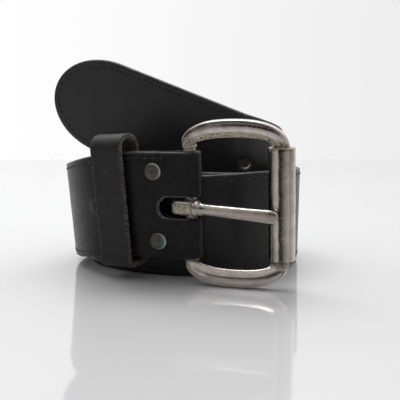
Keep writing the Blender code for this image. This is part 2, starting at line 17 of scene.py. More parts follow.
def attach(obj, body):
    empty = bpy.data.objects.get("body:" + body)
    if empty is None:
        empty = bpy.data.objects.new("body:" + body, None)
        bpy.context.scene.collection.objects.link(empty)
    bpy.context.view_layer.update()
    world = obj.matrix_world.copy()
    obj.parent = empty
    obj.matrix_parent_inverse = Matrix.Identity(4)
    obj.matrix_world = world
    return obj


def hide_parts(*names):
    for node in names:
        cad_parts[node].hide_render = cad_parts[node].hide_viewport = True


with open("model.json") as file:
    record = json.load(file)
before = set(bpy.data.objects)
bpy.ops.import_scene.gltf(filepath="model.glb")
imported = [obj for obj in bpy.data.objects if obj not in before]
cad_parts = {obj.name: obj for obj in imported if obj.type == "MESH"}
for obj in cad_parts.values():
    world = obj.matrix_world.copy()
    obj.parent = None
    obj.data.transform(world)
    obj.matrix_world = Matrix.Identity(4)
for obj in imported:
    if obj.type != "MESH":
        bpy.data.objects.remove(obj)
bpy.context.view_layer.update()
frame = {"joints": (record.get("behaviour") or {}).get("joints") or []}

MM = 0.001

# Route of the strap, as in the design
COIL_AXIS = Vector((4.8, 10.0, 0.0)) * MM
BAR_AXIS = Vector((2.5, -59.3, 33.3)) * MM
TIP_END = Vector((-65.5, -3.0, 86.7)) * MM
COIL_START = math.radians(80)
COIL_END = math.radians(985)
COIL_RADIUS = 57.0 * MM
COIL_PITCH = 4.6 * MM
PRESSED_IN = 8.0 * MM
PRESSED_AT = math.radians(28)
MEAN_LEAN = math.radians(2.7)
LEAN_SWING = math.radians(2.7)
LEANS_MOST_AT = math.radians(45)
COIL_HEIGHTS = ((0, 11.0), (80, 4.0), (170, 1.5), (270, 1.6), (318, 1.6), (352, 0.3), (450, 0.0),
                (540, 0.0), (610, 0.0), (720, 1.5), (810, 3.4), (900, 9.0), (985, 18.6))
HEEL_YAW = math.radians(17)
HEEL_STRAIGHT = 20.0 * MM
TIP_YAW = math.radians(10.8)
TIP_CLIMB = math.radians(21.8)
TIP_LEAN = math.radians(6.7)
TIP_STRAIGHT = 95.0 * MM
TIP_ROUNDING = 28.5 * MM
HEEL_BEND_HANDLE = 0.36
TIP_BEND_HANDLE = 0.45
TIP_BEND_OVER_CHORD = 1.12
FINER = 3

# Strap and its heel, as in the design
STRAP_WIDTH = 45.0 * MM
FACE_THICKNESS = 1.8 * MM
LINING_THICKNESS = 1.2 * MM
PLY_GAP = 0.3 * MM
BAR_RADIUS = 2.5 * MM
FOLD_SLACK = 0.5 * MM
FACE_MIDDLE = PLY_GAP / 2 + FACE_THICKNESS / 2
FACE_OUT = PLY_GAP / 2 + FACE_THICKNESS
LINING_OUT = -PLY_GAP / 2 - LINING_THICKNESS
FOLD_RADIUS = BAR_RADIUS + FOLD_SLACK + FACE_THICKNESS / 2
FOLD_LENGTH = math.pi * FOLD_RADIUS
FOLD_BACK_END = 52.0 * MM
LINING_START = 13.5 * MM
SLOT_WIDTH = 9.2 * MM
SLOT_REACH = 13.3 * MM
SLOT_OFFSET = -0.8 * MM
SLOT_RADIUS = SLOT_WIDTH / 2
SLOT_FAR = SLOT_REACH - SLOT_RADIUS
SLOT_NEAR = -FOLD_LENGTH - SLOT_REACH + SLOT_RADIUS
RIVETS = (("rivet_upper", 14.8 * MM, 14.4 * MM), ("rivet_lower", 13.5 * MM, -15.2 * MM),
          ("rivet_rear", 44.0 * MM, 0.0))
RIVET_CAP_RADIUS = 3.6 * MM
RIVET_STEM_RADIUS = 1.6 * MM
HOLE_FIRST = 102.0 * MM
HOLE_SPACING = 25.0 * MM
HOLE_COUNT = 5
HOLE_RADIUS = 2.3 * MM

# Wear of the strap: dished hole and slot rims, leather raised round the rivets, and loose waves
HOLE_DISH_DEPTH = 0.42 * MM
HOLE_DISH_WIDTH = 1.9 * MM
SLOT_DISH_DEPTH = 0.30 * MM
SLOT_DISH_WIDTH = 0.7 * MM
RIVET_RING_HEIGHT = 0.16 * MM
RIVET_RING_RADIUS = 4.3 * MM
RIVET_RING_WIDTH = 0.8 * MM
SKIN_DEPTH = 0.45 * MM
WAVE_HEIGHT = 0.05 * MM
WAVE_LENGTH = 7 * MM
SLOT_FIBRES = 560

# Seam
SEAM_INSET = 2.6 * MM
SEAM_START = 9.0 * MM
STITCH_PITCH = 3.6 * MM
STITCH_LENGTH = 2.7 * MM
STITCH_WIDTH = 0.62 * MM
STITCH_HEIGHT = 0.34 * MM
GROOVE_HALF = 0.6 * MM
GROOVE_DEPTH = 0.07 * MM

# Keeper, as in the design apart from its rounded edges and loose fibres
KEEPER_AT = 33.0 * MM
KEEPER_WIDTH = 15.8 * MM
KEEPER_UPRIGHT = math.radians(4.2)
KEEPER_WALL = 2.2 * MM
KEEPER_FRONT = 3.5 * MM
KEEPER_REAR = -5.9 * MM
KEEPER_TOP = 28.3 * MM
KEEPER_TOP_FLAT = 1.2 * MM
KEEPER_BOTTOM = -24.7 * MM
KEEPER_CORNER = 3.2 * MM
KEEPER_EDGE_ROUNDING = 0.55 * MM
KEEPER_FIBRES = 760

# Buckle, as in the design, and the depths of its dents and pits
HEEL_BAR_END = 23.2 * MM
FRONT_BAR_END = 23.3 * MM
BOW_BASE_STEP = 0.3 * MM
BOW_INNER_BASE_STEP = 0.64 * MM
BOW_OUTER_POWER = 2.35
BOW_INNER_LEFT_POWER = 1.85
BOW_INNER_RIGHT_POWER = 2.6
BOW_END_THINNER = 0.4 * MM
BOW_OUTER_HEIGHT = 34.5 * MM
BOW_INNER_HEIGHT = 27.1 * MM
BOW_OUTER_LEFT = -2.7 * MM
BOW_OUTER_RIGHT = 41.2 * MM
BOW_INNER_LEFT = 2.4 * MM
BOW_INNER_RIGHT = 33.9 * MM
BOW_HALF_THICKNESS = 2.9 * MM
BOW_RISE = 4.0 * MM
FRONT_BAR_RADIUS = 3.1 * MM
ROLLER_RADIUS = 5.4 * MM
ROLLER_BORE = 3.6 * MM
ROLLER_HALF = 22.9 * MM
ROLLER_SEAM = 0.35 * MM
PRONG_SKEW = math.radians(2.6)
PRONG_DROP = -2.1 * MM
PRONG_BORE = 2.9 * MM
BOW_DENTS = 0.05 * MM
BOW_PITS = 0.10 * MM
BOW_ROOT_CLEARANCE = 0.10 * MM
ROLLER_DENTS = 0.035 * MM

# Camera, and room in metres
LENS = 55.05
SENSOR = 36.0
CAMERA_FROM_COIL = Vector((6.2, -314.0, 61.6)) * MM
CAMERA_PITCH = math.radians(5.85)
TABLE_BACK = 1.40
TABLE_FRONT = -0.75
TABLE_SIDE = 1.6
LAMP_AT = Vector((-0.10, 0.35, 0.95))
LAMP_AIM = Vector((0.0, 0.0, 0.04))
LAMP_SIZE = (0.7, 0.4)
LAMP_POWER = 5.0


# ---------------------------------------------------------------- route

class Station:
    """One place along the strap: a point on the glue line, and the directions there."""

    def __init__(self, point, along, across, outward, distance):
        self.point = point
        self.along = along
        self.across = across
        self.outward = outward
        self.distance = distance

    def at(self, offset, height):
        return self.point + self.outward * offset + self.across * height

    def matrix(self, height=0.0):
        """Local X along the strap, Y across it and Z out of its face."""
        columns = (-self.along, self.across, self.outward)
        placed = Matrix([[column[i] for column in columns] for i in range(3)]).to_4x4()
        placed.translation = self.at(0.0, height)
        return placed


def smoothstep(value):
    value = min(1.0, max(0.0, value))
    return value * value * (3 - 2 * value)


def through_keys(keys, x):
    """Smooth curve through (x, value) keys that is level at each key where it turns or runs flat."""
    xs = [key[0] for key in keys]
    ys = [key[1] for key in keys]
    last = len(keys) - 1
    i = max(0, min(last - 1, sum(1 for k in xs if k <= x) - 1))

    def slope(n):
        low, high = max(0, n - 1), min(last, n + 1)
        if low < n < high and (ys[n] - ys[low]) * (ys[high] - ys[n]) <= 0:
            return 0.0
        return (ys[high] - ys[low]) / (xs[high] - xs[low])

    span = xs[i + 1] - xs[i]
    t = (x - xs[i]) / span
    ease = t * t * (3 - 2 * t)
    near = t * (1 - t) ** 2 * span * slope(i)
    far = t * t * (t - 1) * span * slope(i + 1)
    return ys[i] * (1 - ease) + ys[i + 1] * ease + near + far


def heading(turn):
    return Vector((-math.cos(turn), math.sin(turn)))


def outward_at(turn):
    return Vector((-math.sin(turn), -math.cos(turn)))


def coil_lean(turn):
    return MEAN_LEAN + LEAN_SWING * math.cos(turn - LEANS_MOST_AT)


def coil_point(turn):
    pressed = max(0.0, math.cos(turn - PRESSED_AT)) ** 2 if turn > math.radians(270) else 0.0
    radius = COIL_RADIUS - COIL_PITCH * (turn - COIL_START) / math.tau - PRESSED_IN * pressed
    return outward_at(turn) * radius + COIL_AXIS.xy


def coil_heading(turn):
    return (coil_point(turn + 0.001) - coil_point(turn - 0.001)).normalized()


def bezier(start, start_heading, end, end_heading, handle, t):
    reach = handle * (end - start).length
    a, b = start, start + start_heading * reach
    c, d = end - end_heading * reach, end
    return a * (1 - t) ** 3 + b * 3 * t * (1 - t) ** 2 + c * 3 * t * t * (1 - t) + d * t ** 3


def coil_height(turn):
    lean = coil_lean(turn)
    lower = through_keys(COIL_HEIGHTS, math.degrees(turn)) * MM
    return lower + STRAP_WIDTH / 2 * math.cos(lean) + FACE_THICKNESS * math.sin(lean)


def route_samples():
    """Plan points, heights and leans of the glue line, FINER times as many as in the design."""
    samples = []
    glue = BAR_RADIUS + FOLD_SLACK - PLY_GAP / 2
    bar = COIL_AXIS.xy + BAR_AXIS.xy + outward_at(HEEL_YAW) * glue
    count = 4 * FINER
    for i in range(count + 1):
        plan = bar + heading(HEEL_YAW) * HEEL_STRAIGHT * i / count
        samples.append((plan, BAR_AXIS.z, coil_lean(HEEL_YAW)))

    start = bar + heading(HEEL_YAW) * HEEL_STRAIGHT
    end = coil_point(COIL_START)
    count = 12 * FINER
    for i in range(1, count):
        t = i / count
        plan = bezier(start, heading(HEEL_YAW), end, coil_heading(COIL_START), HEEL_BEND_HANDLE, t)
        height = BAR_AXIS.z + (coil_height(COIL_START) - BAR_AXIS.z) * smoothstep(t)
        samples.append((plan, height, coil_lean(HEEL_YAW + (COIL_START - HEEL_YAW) * t)))

    count = 151 * FINER
    for i in range(count + 1):
        turn = COIL_START + (COIL_END - COIL_START) * i / count
        samples.append((coil_point(turn), coil_height(turn), coil_lean(turn)))

    level = math.cos(TIP_CLIMB)
    tip_heading = Vector((-math.cos(TIP_YAW), math.sin(TIP_YAW)))
    straight = COIL_AXIS.xy + TIP_END.xy - tip_heading * TIP_STRAIGHT * level
    straight_height = TIP_END.z - TIP_STRAIGHT * math.sin(TIP_CLIMB)
    start = coil_point(COIL_END)
    start_height = coil_height(COIL_END)
    fall = start_height - coil_height(COIL_END - 0.1)
    start_slope = fall / (0.1 * (coil_point(COIL_END) - COIL_AXIS.xy).length)
    bend_length = TIP_BEND_OVER_CHORD * (straight - start).length
    count = 18 * FINER
    for i in range(1, count):
        t = i / count
        plan = bezier(start, coil_heading(COIL_END), straight, tip_heading, TIP_BEND_HANDLE, t)
        rise = (start_height * (1 + 2 * t) * (1 - t) ** 2 + straight_height * t * t * (3 - 2 * t)
                + start_slope * bend_length * t * (1 - t) ** 2
                + math.tan(TIP_CLIMB) * bend_length * t * t * (t - 1))
        samples.append((plan, rise, coil_lean(COIL_END) + (TIP_LEAN - coil_lean(COIL_END)) * smoothstep(t)))

    count = 16 * FINER
    for i in range(count + 1):
        reach = TIP_STRAIGHT * i / count
        plan = straight + tip_heading * reach * level
        samples.append((plan, straight_height + reach * math.sin(TIP_CLIMB), TIP_LEAN))
    return samples


def make_route():
    samples = route_samples()
    points = [Vector((plan.x, plan.y, height)) for plan, height, lean in samples]
    stations = []
    distance = 0.0
    for i, point in enumerate(points):
        before, after = points[max(0, i - 1)], points[min(len(points) - 1, i + 1)]
        along = (after - before).normalized()
        outward = Vector((-along.y, along.x, 0.0)).normalized()
        if i == 0:
            outward = outward_at(HEEL_YAW).to_3d()
        outward *= 1 if outward.cross(along).z < 0 else -1
        lean = samples[i][2]
        across = Vector((0, 0, math.cos(lean))) + outward * math.sin(lean)
        across = (across - along * across.dot(along)).normalized()
        if i:
            distance += (point - points[i - 1]).length
        stations.append(Station(point, along, across, across.cross(along).normalized(), distance))
    return stations


def station_at(distance):
    """The strap's place and directions at a distance from the heel bar, between two stations."""
    i = min(max(bisect.bisect_left(route_distances, distance), 1), len(route) - 1)
    before, after = route[i - 1], route[i]
    t = (distance - before.distance) / (after.distance - before.distance)
    along = before.along.lerp(after.along, t).normalized()
    across = before.across.lerp(after.across, t)
    across = (across - along * across.dot(along)).normalized()
    return Station(before.point.lerp(after.point, t), along, across, across.cross(along), distance)


def to_fold(x, y, z):
    """A flat point of the face ply's fold, bent round the heel bar."""
    angle = -x / FOLD_RADIUS
    heel = route[0]
    axis = heel.at(FACE_MIDDLE - FOLD_RADIUS, y)
    out = heel.outward * math.cos(angle) - heel.along * math.sin(angle)
    return axis + out * (FOLD_RADIUS + z - FACE_MIDDLE)


def to_fold_back(x, y, z):
    """A flat point of the folded-back end, which settles behind the lining."""
    station = station_at(-x - FOLD_LENGTH)
    settled = -(LINING_THICKNESS + PLY_GAP * 1.5 + FACE_THICKNESS / 2)
    at_bar = FACE_MIDDLE - 2 * FOLD_RADIUS
    middle = at_bar + (settled - at_bar) * smoothstep(station.distance / (LINING_START - 1.5 * MM))
    return station.at(middle - (z - FACE_MIDDLE), y)


def rolled(point):
    x, y, z = point
    if x >= 0:
        return station_at(x).at(z, y)
    if x > -FOLD_LENGTH:
        return to_fold(x, y, z)
    return to_fold_back(x, y, z)


# ---------------------------------------------------------------- meshes

def object_from(name, bm, material, smooth_angle=50):
    mesh = bpy.data.meshes.new(name)
    bm.to_mesh(mesh)
    bm.free()
    mesh.shade_smooth()
    mesh.set_sharp_from_angle(angle=math.radians(smooth_angle))
    obj = bpy.data.objects.new(name, mesh)
    bpy.context.scene.collection.objects.link(obj)
    mesh.materials.append(material)
    return obj


def finished(name, bm, material, smooth_angle, placed=None, **attributes):
    """Turn the faces outwards, put the mesh in its place and store its values for the materials."""
    bmesh.ops.recalc_face_normals(bm, faces=bm.faces[:])
    if placed is not None:
        bm.transform(placed)
    obj = object_from(name, bm, material, smooth_angle)
    for attribute, values in attributes.items():
        made = obj.data.attributes.new(attribute, "FLOAT", "POINT")
        made.data.foreach_set("value", values)
    return obj


def loft(bm, rings, closed=False):
    """Join rings of equally many points with quads, and cap both ends unless the loft is closed."""
    rows = [[bm.verts.new(point) for point in ring] for ring in rings]
    count = len(rows[0])
    pairs = list(zip(rows, rows[1:]))
    if closed:
        pairs.append((rows[-1], rows[0]))
    for row, following in pairs:
        for i in range(count):
            j = (i + 1) % count
            bm.faces.new((row[i], row[j], following[j], following[i]))
    if not closed:
        bm.faces.new(rows[0][::-1])
        bm.faces.new(rows[-1])


def add_fibre(bm, root, way, length, radius):
    """A thin three-sided spike."""
    across = way.orthogonal().normalized() * radius
    other = way.cross(across).normalized() * radius
    base = [bm.verts.new(root + across * math.cos(a) + other * math.sin(a))
            for a in (0.0, math.tau / 3, 2 * math.tau / 3)]
    tip = bm.verts.new(root + way * length)
    for k in range(3):
        bm.faces.new((base[k], base[(k + 1) % 3], tip))
    bm.faces.new(base[::-1])


def rough(point, scale, seed=0.0):
    """Smooth noise between about -1 and 1, whose features are about scale across."""
    return noise.noise(Vector(point) / scale + Vector((seed, seed * 0.7, -seed)))


# ---------------------------------------------------------------- materials

class Nodes:
    """Short ways to add procedural nodes to a node tree."""

    def __init__(self, tree):
        self.nodes = tree.nodes
        self.links = tree.links

    def put(self, value, socket):
        if isinstance(value, bpy.types.NodeSocket):
            self.links.new(value, socket)
        elif hasattr(socket.default_value, "__len__") and len(value) == 3 and len(socket.default_value) == 4:
            socket.default_value = (*value, 1.0)
        else:
            socket.default_value = value

    def add(self, kind, **inputs):
        node = self.nodes.new("ShaderNode" + kind)
        for name, value in inputs.items():
            self.put(value, node.inputs[name.replace("_", " ")])
        return node

    def math(self, operation, a, b=0.0):
        node = self.nodes.new("ShaderNodeMath")
        node.operation = operation
        self.put(a, node.inputs[0])
        self.put(b, node.inputs[1])
        return node.outputs[0]

    def mix(self, factor, a, b):
        """Blend two colours."""
        node = self.nodes.new("ShaderNodeMix")
        node.data_type = "RGBA"
        self.put(factor, node.inputs["Factor"])
        self.put(a, node.inputs["A"])
        self.put(b, node.inputs["B"])
        return node.outputs["Result"]

    def spread(self, value, low, high, to_low=0.0, to_high=1.0):
        """Map low..high to to_low..to_high, held at the ends."""
        node = self.add("MapRange", Value=value, From_Min=low, From_Max=high, To_Min=to_low, To_Max=to_high)
        return node.outputs["Result"]

    def ramp(self, factor, stops):
        """Colours at (position, colour) stops, blended between them."""
        node = self.add("ValToRGB", Fac=factor)
        elements = node.color_ramp.elements
        while len(elements) < len(stops):
            elements.new(0.5)
        for element, (position, colour) in zip(elements, stops):
            element.position = position
            element.color = (*colour, 1.0)
        return node.outputs["Color"]


class Shader(Nodes):
    """A Principled material."""

    def __init__(self, name, colour, roughness, metallic=0.0):
        self.material = bpy.data.materials.new(name)
        self.material.use_nodes = True
        super().__init__(self.material.node_tree)
        self.shader = self.nodes["Principled BSDF"]
        self.set("Base Color", colour)
        self.set("Roughness", roughness)
        self.set("Metallic", metallic)
        self.place = self.nodes.new("ShaderNodeTexCoord").outputs["Object"]

    def set(self, name, value):
        self.put(value, self.shader.inputs[name])

    def stretched(self, x, y, z):
        return self.add("Mapping", Vector=self.place, Scale=(x, y, z)).outputs["Vector"]

    def noise(self, size, detail=4.0, roughness=0.55, vector=None):
        """Noise from 0 to 1 whose features are about size metres across."""
        node = self.add("TexNoise", Vector=vector or self.place, Scale=1.0 / size, Detail=detail,
                        Roughness=roughness)
        return node.outputs["Fac"]

    def cells(self, size):
        return self.add("TexVoronoi", Vector=self.place, Scale=1.0 / size).outputs["Distance"]

    def attribute(self, name):
        node = self.nodes.new("ShaderNodeAttribute")
        node.attribute_name = name
        return node.outputs["Fac"]

    def bump(self, height, distance, strength=1.0, normal=None):
        """Bump of a 0..1 height over a distance in metres."""
        node = self.add("Bump", Height=height, Strength=strength, Distance=distance)
        if normal is not None:
            self.links.new(normal, node.inputs["Normal"])
        self.set("Normal", node.outputs["Normal"])
        return node.outputs["Normal"]


def make_face_leather():
    """Smooth black grain: fine pores, faint mottling, and a painted highlight along its edges, stronger on
    the top edge.
    """
    s = Shader("face_leather", (0.020, 0.020, 0.022), 0.42)
    edge = s.attribute("edge_mm")
    mottle = s.noise(9 * MM, 5.0, 0.6)
    fine = s.noise(0.8 * MM, 3.0)
    base = s.mix(s.spread(mottle, 0.32, 0.68), (0.0080, 0.0078, 0.0086), (0.0150, 0.0146, 0.0160))
    base = s.mix(s.math("MULTIPLY", s.spread(fine, 0.55, 0.78), 0.35), base, (0.030, 0.030, 0.032))
    # Painted light: the leather is painted a little lighter away from the heel, and lightest near the tip.
    base = s.mix(s.math("MULTIPLY", s.attribute("handled"), 0.6), base, (0.0235, 0.0235, 0.0250))
    # Painted highlight: a pale, broken line along the ply's edges that stands in for light on the rounded
    # edge.
    painted_edge_highlight = s.math("MULTIPLY", s.spread(edge, 1.15, 0.30), s.spread(s.noise(2.6 * MM, 4.0), 0.30, 0.56))
    base = s.mix(painted_edge_highlight, base, (0.085, 0.083, 0.082))
    worn = s.math("MULTIPLY", s.attribute("worn"), s.spread(s.noise(1.1 * MM, 3.0), 0.30, 0.60))
    base = s.mix(worn, base, (0.15, 0.145, 0.13))
    s.set("Base Color", base)
    scuffs = s.noise(1.0, 6.0, 0.6, s.stretched(260, 260, 1500))
    gloss = s.math("ADD", s.spread(mottle, 0.3, 0.7, 0.30, 0.38), s.spread(scuffs, 0.45, 0.75, 0.0, 0.10))
    s.set("Roughness", gloss)
    s.set("Specular IOR Level", s.spread(s.attribute("handled"), 0.0, 1.0, 0.15, 0.50))
    pores = s.cells(0.42 * MM)
    grain = s.math("ADD", s.spread(pores, 0.0, 0.55), s.noise(0.25 * MM, 2.0))
    first = s.bump(s.noise(5.5 * MM, 3.0), 0.25 * MM, 0.35)
    s.bump(grain, 0.035 * MM, 0.55, first)
    return s.material


def make_lining_leather():
    """Flat black lining with a soft nap, small creases across the bends and a painted highlight along its
    edges.
    """
    s = Shader("lining_leather", (0.022, 0.021, 0.020), 0.62)
    mottle = s.noise(6 * MM, 5.0, 0.65)
    base = s.mix(s.spread(mottle, 0.3, 0.7), (0.016, 0.0155, 0.015), (0.034, 0.032, 0.030))
    edge = s.attribute("edge_mm")
    # Painted highlight: a pale, broken line along the lining's edges.
    painted_edge_highlight = s.math("MULTIPLY", s.spread(edge, 0.6, 0.1), s.spread(s.noise(2.0 * MM, 4.0), 0.40, 0.65))
    s.set("Base Color", s.mix(painted_edge_highlight, base, (0.10, 0.095, 0.088)))
    s.set("Roughness", s.spread(s.noise(1.4 * MM, 3.0), 0.3, 0.7, 0.52, 0.70))
    s.set("Specular IOR Level", 0.35)
    creases = s.noise(1.0, 4.0, 0.6, s.stretched(900, 900, 90))
    first = s.bump(creases, 0.12 * MM, 0.4)
    s.bump(s.noise(0.3 * MM, 4.0, 0.7), 0.05 * MM, 0.6, first)
    return s.material


def make_keeper_leather():
    """Black grain face, scuffed along its rims, and raw brown flesh and cut edges."""
    s = Shader("keeper_leather", (0.022, 0.021, 0.021), 0.5)
    raw = s.attribute("raw")
    mottle = s.noise(5 * MM, 5.0, 0.6)
    black = s.mix(s.spread(mottle, 0.3, 0.7), (0.0070, 0.0070, 0.0080), (0.0135, 0.0130, 0.0142))
    specks = s.math("MULTIPLY", s.attribute("rim"), s.spread(s.noise(0.8 * MM, 4.0), 0.52, 0.62))
    black = s.mix(specks, black, (0.115, 0.105, 0.095))
    fibre = s.noise(0.5 * MM, 5.0, 0.75)
    brown = s.mix(s.spread(fibre, 0.36, 0.66), (0.012, 0.009, 0.007), (0.135, 0.108, 0.085))
    pale = s.math("MULTIPLY", s.spread(s.noise(0.62 * MM, 3.0), 0.54, 0.64), 0.85)
    brown = s.mix(pale, brown, (0.36, 0.32, 0.27))
    s.set("Base Color", s.mix(raw, black, brown))
    s.set("Roughness", s.spread(raw, 0.0, 1.0, 0.50, 0.93))
    s.set("Specular IOR Level", 0.35)
    first = s.bump(fibre, 0.30 * MM, 0.35)
    s.bump(s.math("ADD", s.cells(0.45 * MM), s.noise(0.22 * MM, 3.0)), 0.05 * MM, 0.7, first)
    return s.material


def make_fibre_material(name, dark, pale):
    """Loose leather fibres of two tones."""
    s = Shader(name, dark, 0.9)
    tone = s.noise(1.2 * MM, 3.0)
    s.set("Base Color", s.mix(s.spread(tone, 0.35, 0.65), dark, pale))
    s.set("Roughness", s.spread(tone, 0.3, 0.7, 0.8, 0.95))
    return s.material


def make_thread_material():
    """Waxed black thread, twisted, with worn paler strands."""
    s = Shader("waxed_thread", (0.010, 0.010, 0.011), 0.6)
    twist = s.add("TexWave", Vector=s.place, Scale=900.0)
    twist.bands_direction = "DIAGONAL"
    tone = s.noise(3 * MM, 3.0)
    s.set("Base Color", s.mix(s.spread(tone, 0.45, 0.70), (0.009, 0.009, 0.010), (0.060, 0.057, 0.053)))
    s.set("Roughness", s.spread(s.noise(1 * MM), 0.3, 0.7, 0.5, 0.72))
    s.bump(twist.outputs["Fac"], 0.06 * MM, 0.6)
    return s.material


def make_nickel(name):
    """Worn nickel plate: painted dark reflections and shade, haze and scratches, and pits full of brown,
    olive and golden dirt.
    """
    s = Shader(name, (0.50, 0.47, 0.43), 0.2, 1.0)
    haze = s.noise(5 * MM, 5.0, 0.62)
    base = s.mix(s.spread(haze, 0.33, 0.70), (0.66, 0.605, 0.56), (0.48, 0.425, 0.38))
    # Painted reflection and shade: dark brown bands laid into the colour where the metal shows the dark side
    # of the room.
    streak = s.math("MULTIPLY", s.attribute("streak"), s.spread(s.noise(0.7 * MM, 3.0), 0.22, 0.40))
    base = s.mix(streak, base, (0.034, 0.026, 0.021))
    pits = s.spread(s.noise(0.40 * MM, 4.0, 0.6), 0.60, 0.67)
    sparse = s.spread(s.noise(4 * MM, 3.0), 0.46, 0.62)
    heavy = s.math("MULTIPLY", s.attribute("dirt"), s.spread(s.noise(0.60 * MM, 3.0, 0.6), 0.34, 0.44))
    dirt = s.math("MAXIMUM", s.math("MULTIPLY", pits, sparse), heavy)
    gold = s.spread(s.noise(0.48 * MM, 3.0, 0.65), 0.44, 0.54)
    tint = s.mix(gold, (0.036, 0.029, 0.018), (0.82, 0.75, 0.57))
    s.set("Base Color", s.mix(dirt, base, tint))
    s.set("Metallic", s.spread(dirt, 0.0, 1.0, 1.0, 0.30))
    scratch = s.noise(1.0, 4.0, 0.6, s.stretched(3200, 3200, 420))
    gloss = s.math("ADD", s.spread(haze, 0.3, 0.7, 0.11, 0.24), s.spread(scratch, 0.5, 0.8, 0.0, 0.12))
    s.set("Roughness", s.math("ADD", gloss, s.math("MULTIPLY", dirt, 0.35)))
    first = s.bump(s.noise(3.5 * MM, 2.0), 0.20 * MM, 0.30)
    second = s.bump(scratch, 0.012 * MM, 0.35, first)
    crusts = s.math("SUBTRACT", s.noise(0.36 * MM, 3.0), dirt)
    s.bump(crusts, 0.12 * MM, s.spread(dirt, 0.0, 1.0, 0.15, 0.9), second)
    return s.material


def make_rivet_metal():
    """Tarnished domed caps: olive brown, smooth, with verdigris creeping in from one side."""
    s = Shader("rivet_metal", (0.20, 0.19, 0.16), 0.36, 1.0)
    tone = s.noise(2.6 * MM, 3.0)
    base = s.mix(s.spread(tone, 0.35, 0.65), (0.070, 0.062, 0.052), (0.112, 0.108, 0.082))
    base = s.mix(s.attribute("blackened"), base, (0.022, 0.022, 0.023))
    green = s.attribute("verdigris")
    base = s.mix(green, base, (0.030, 0.200, 0.130))
    # Painted highlight: the rim attribute pales one side of the cap's rim.
    base = s.mix(s.attribute("rim"), base, (0.64, 0.62, 0.56))
    s.set("Base Color", base)
    s.set("Metallic", s.spread(green, 0.0, 1.0, 0.75, 0.1))
    s.set("Roughness", s.spread(s.noise(0.9 * MM, 4.0), 0.3, 0.7, 0.38, 0.56))
    s.bump(s.noise(0.6 * MM, 3.0), 0.04 * MM, 0.5)
    return s.material


def make_table_material():
    """Glossy white board."""
    s = Shader("white_table", (0.70, 0.70, 0.705), 0.06)
    s.set("Roughness", s.spread(s.noise(0.09), 0.3, 0.7, 0.05, 0.09))
    s.set("IOR", 1.85)
    return s.material


# ---------------------------------------------------------------- strap

# Distances in mm from a ply's edge at which its outer face, or its glued side, has a row of points
FACE_ROWS = (0.0, 0.08, 0.25, 0.5, 0.85, 1.4, 2.0, 2.2, 2.4, 2.6, 2.8, 3.0, 3.2, 4.0, 5.2, 6.5, 8.0,
             9.5, 11.0, 12.5, 14.0, 15.3, 16.4, 17.3, 18.0, 18.7, 19.4, 20.1, 20.7, 21.3, 21.9, 22.5)
LINING_ROWS = (0.0, 0.08, 0.25, 0.5, 0.9, 1.5, 2.0, 2.2, 2.4, 2.6, 2.8, 3.0, 3.2, 4.4, 6.0, 9.0, 12.0,
               15.0, 17.3, 18.5, 19.5, 20.5, 21.5, 22.5)
GLUE_ROWS = (0.0, 0.3, 1.2, 4.0, 9.0, 15.0, 22.5)
EDGE_ROUNDING = 0.7 * MM
EDGE_BULGE = 0.04 * MM


def edge_profile(rows, rounding, thickness):
    """(distance from the edge, depth below the outer face) from the middle out, round the edge and back."""
    profile = []
    for row in reversed(rows):
        trim = row * MM
        depth = 0.0
        if trim < rounding:
            depth = rounding - math.sqrt(rounding ** 2 - (rounding - trim) ** 2)
        groove = abs(trim - SEAM_INSET) / GROOVE_HALF
        if groove < 1:
            depth += GROOVE_DEPTH * math.cos(groove * math.pi / 2) ** 2
        depth += 0.12 * MM * math.exp(-trim / (1.3 * MM))
        profile.append((trim, min(depth, thickness * 0.6)))
    start = profile[-1][1]
    for i in range(1, 5):
        t = i / 5
        profile.append((-EDGE_BULGE * math.sin(t * math.pi), start + (thickness - start) * t))
    for row in GLUE_ROWS:
        profile.append((row * MM, thickness))
    return profile


def hole_places():
    return [(belt_length - HOLE_FIRST - HOLE_SPACING * i, 0.0) for i in range(HOLE_COUNT)]


def flat_strap(start, profile, outer, side, step):
    """A flat ply from start to the tip. outer is the Z of its outer face, and side its way out."""
    fine = [x for x, y in hole_places()]
    fine += [distance for name, distance, height in RIVETS]
    straight_end = belt_length - TIP_ROUNDING - STRAP_WIDTH / 2 - 3 * MM
    xs = [start]
    while xs[-1] < straight_end:
        close = min(abs(xs[-1] - centre) for centre in fine) < 5 * MM
        in_heel = xs[-1] < SLOT_REACH + 2 * MM
        xs.append(xs[-1] + (step * 0.45 if close or in_heel else step))
    xs[-1] = straight_end
    columns = [[(x, STRAP_WIDTH / 2 - trim) for trim, depth in profile] for x in xs]
    for k in range(1, 13):
        t = k / 12
        columns.append([(straight_end + (belt_length - trim - TIP_ROUNDING - straight_end) * t,
                         STRAP_WIDTH / 2 - trim) for trim, depth in profile])
    for k in range(1, 37):
        angle = math.pi / 2 * k / 36
        columns.append([(belt_length - trim - TIP_ROUNDING * (1 - math.sin(angle)),
                         (STRAP_WIDTH / 2 - trim) * math.cos(angle)) for trim, depth in profile])
    bm = bmesh.new()
    for half in (1, -1):
        rows = [[bm.verts.new((x, y * half, outer - side * depth)) for (x, y), (trim, depth) in
                 zip(column, profile)] for column in columns]
        for row, following in zip(rows, rows[1:]):
            for i in range(len(profile) - 1):
                corners = (row[i], row[i + 1], following[i + 1], following[i])
                bm.faces.new(corners if half * side < 0 else corners[::-1])
    bmesh.ops.remove_doubles(bm, verts=bm.verts[:], dist=0.0005 * MM)
    open_edges = [edge for edge in bm.edges if edge.is_boundary]
    bmesh.ops.holes_fill(bm, edges=open_edges, sides=0)
    bmesh.ops.recalc_face_normals(bm, faces=bm.faces[:])
    return bm


def cylinder_points(bm, x, y, radius):
    bmesh.ops.create_cone(bm, cap_ends=True, segments=48, radius1=radius, radius2=radius, depth=18 * MM,
                          matrix=Matrix.Translation((x, y, 0)))


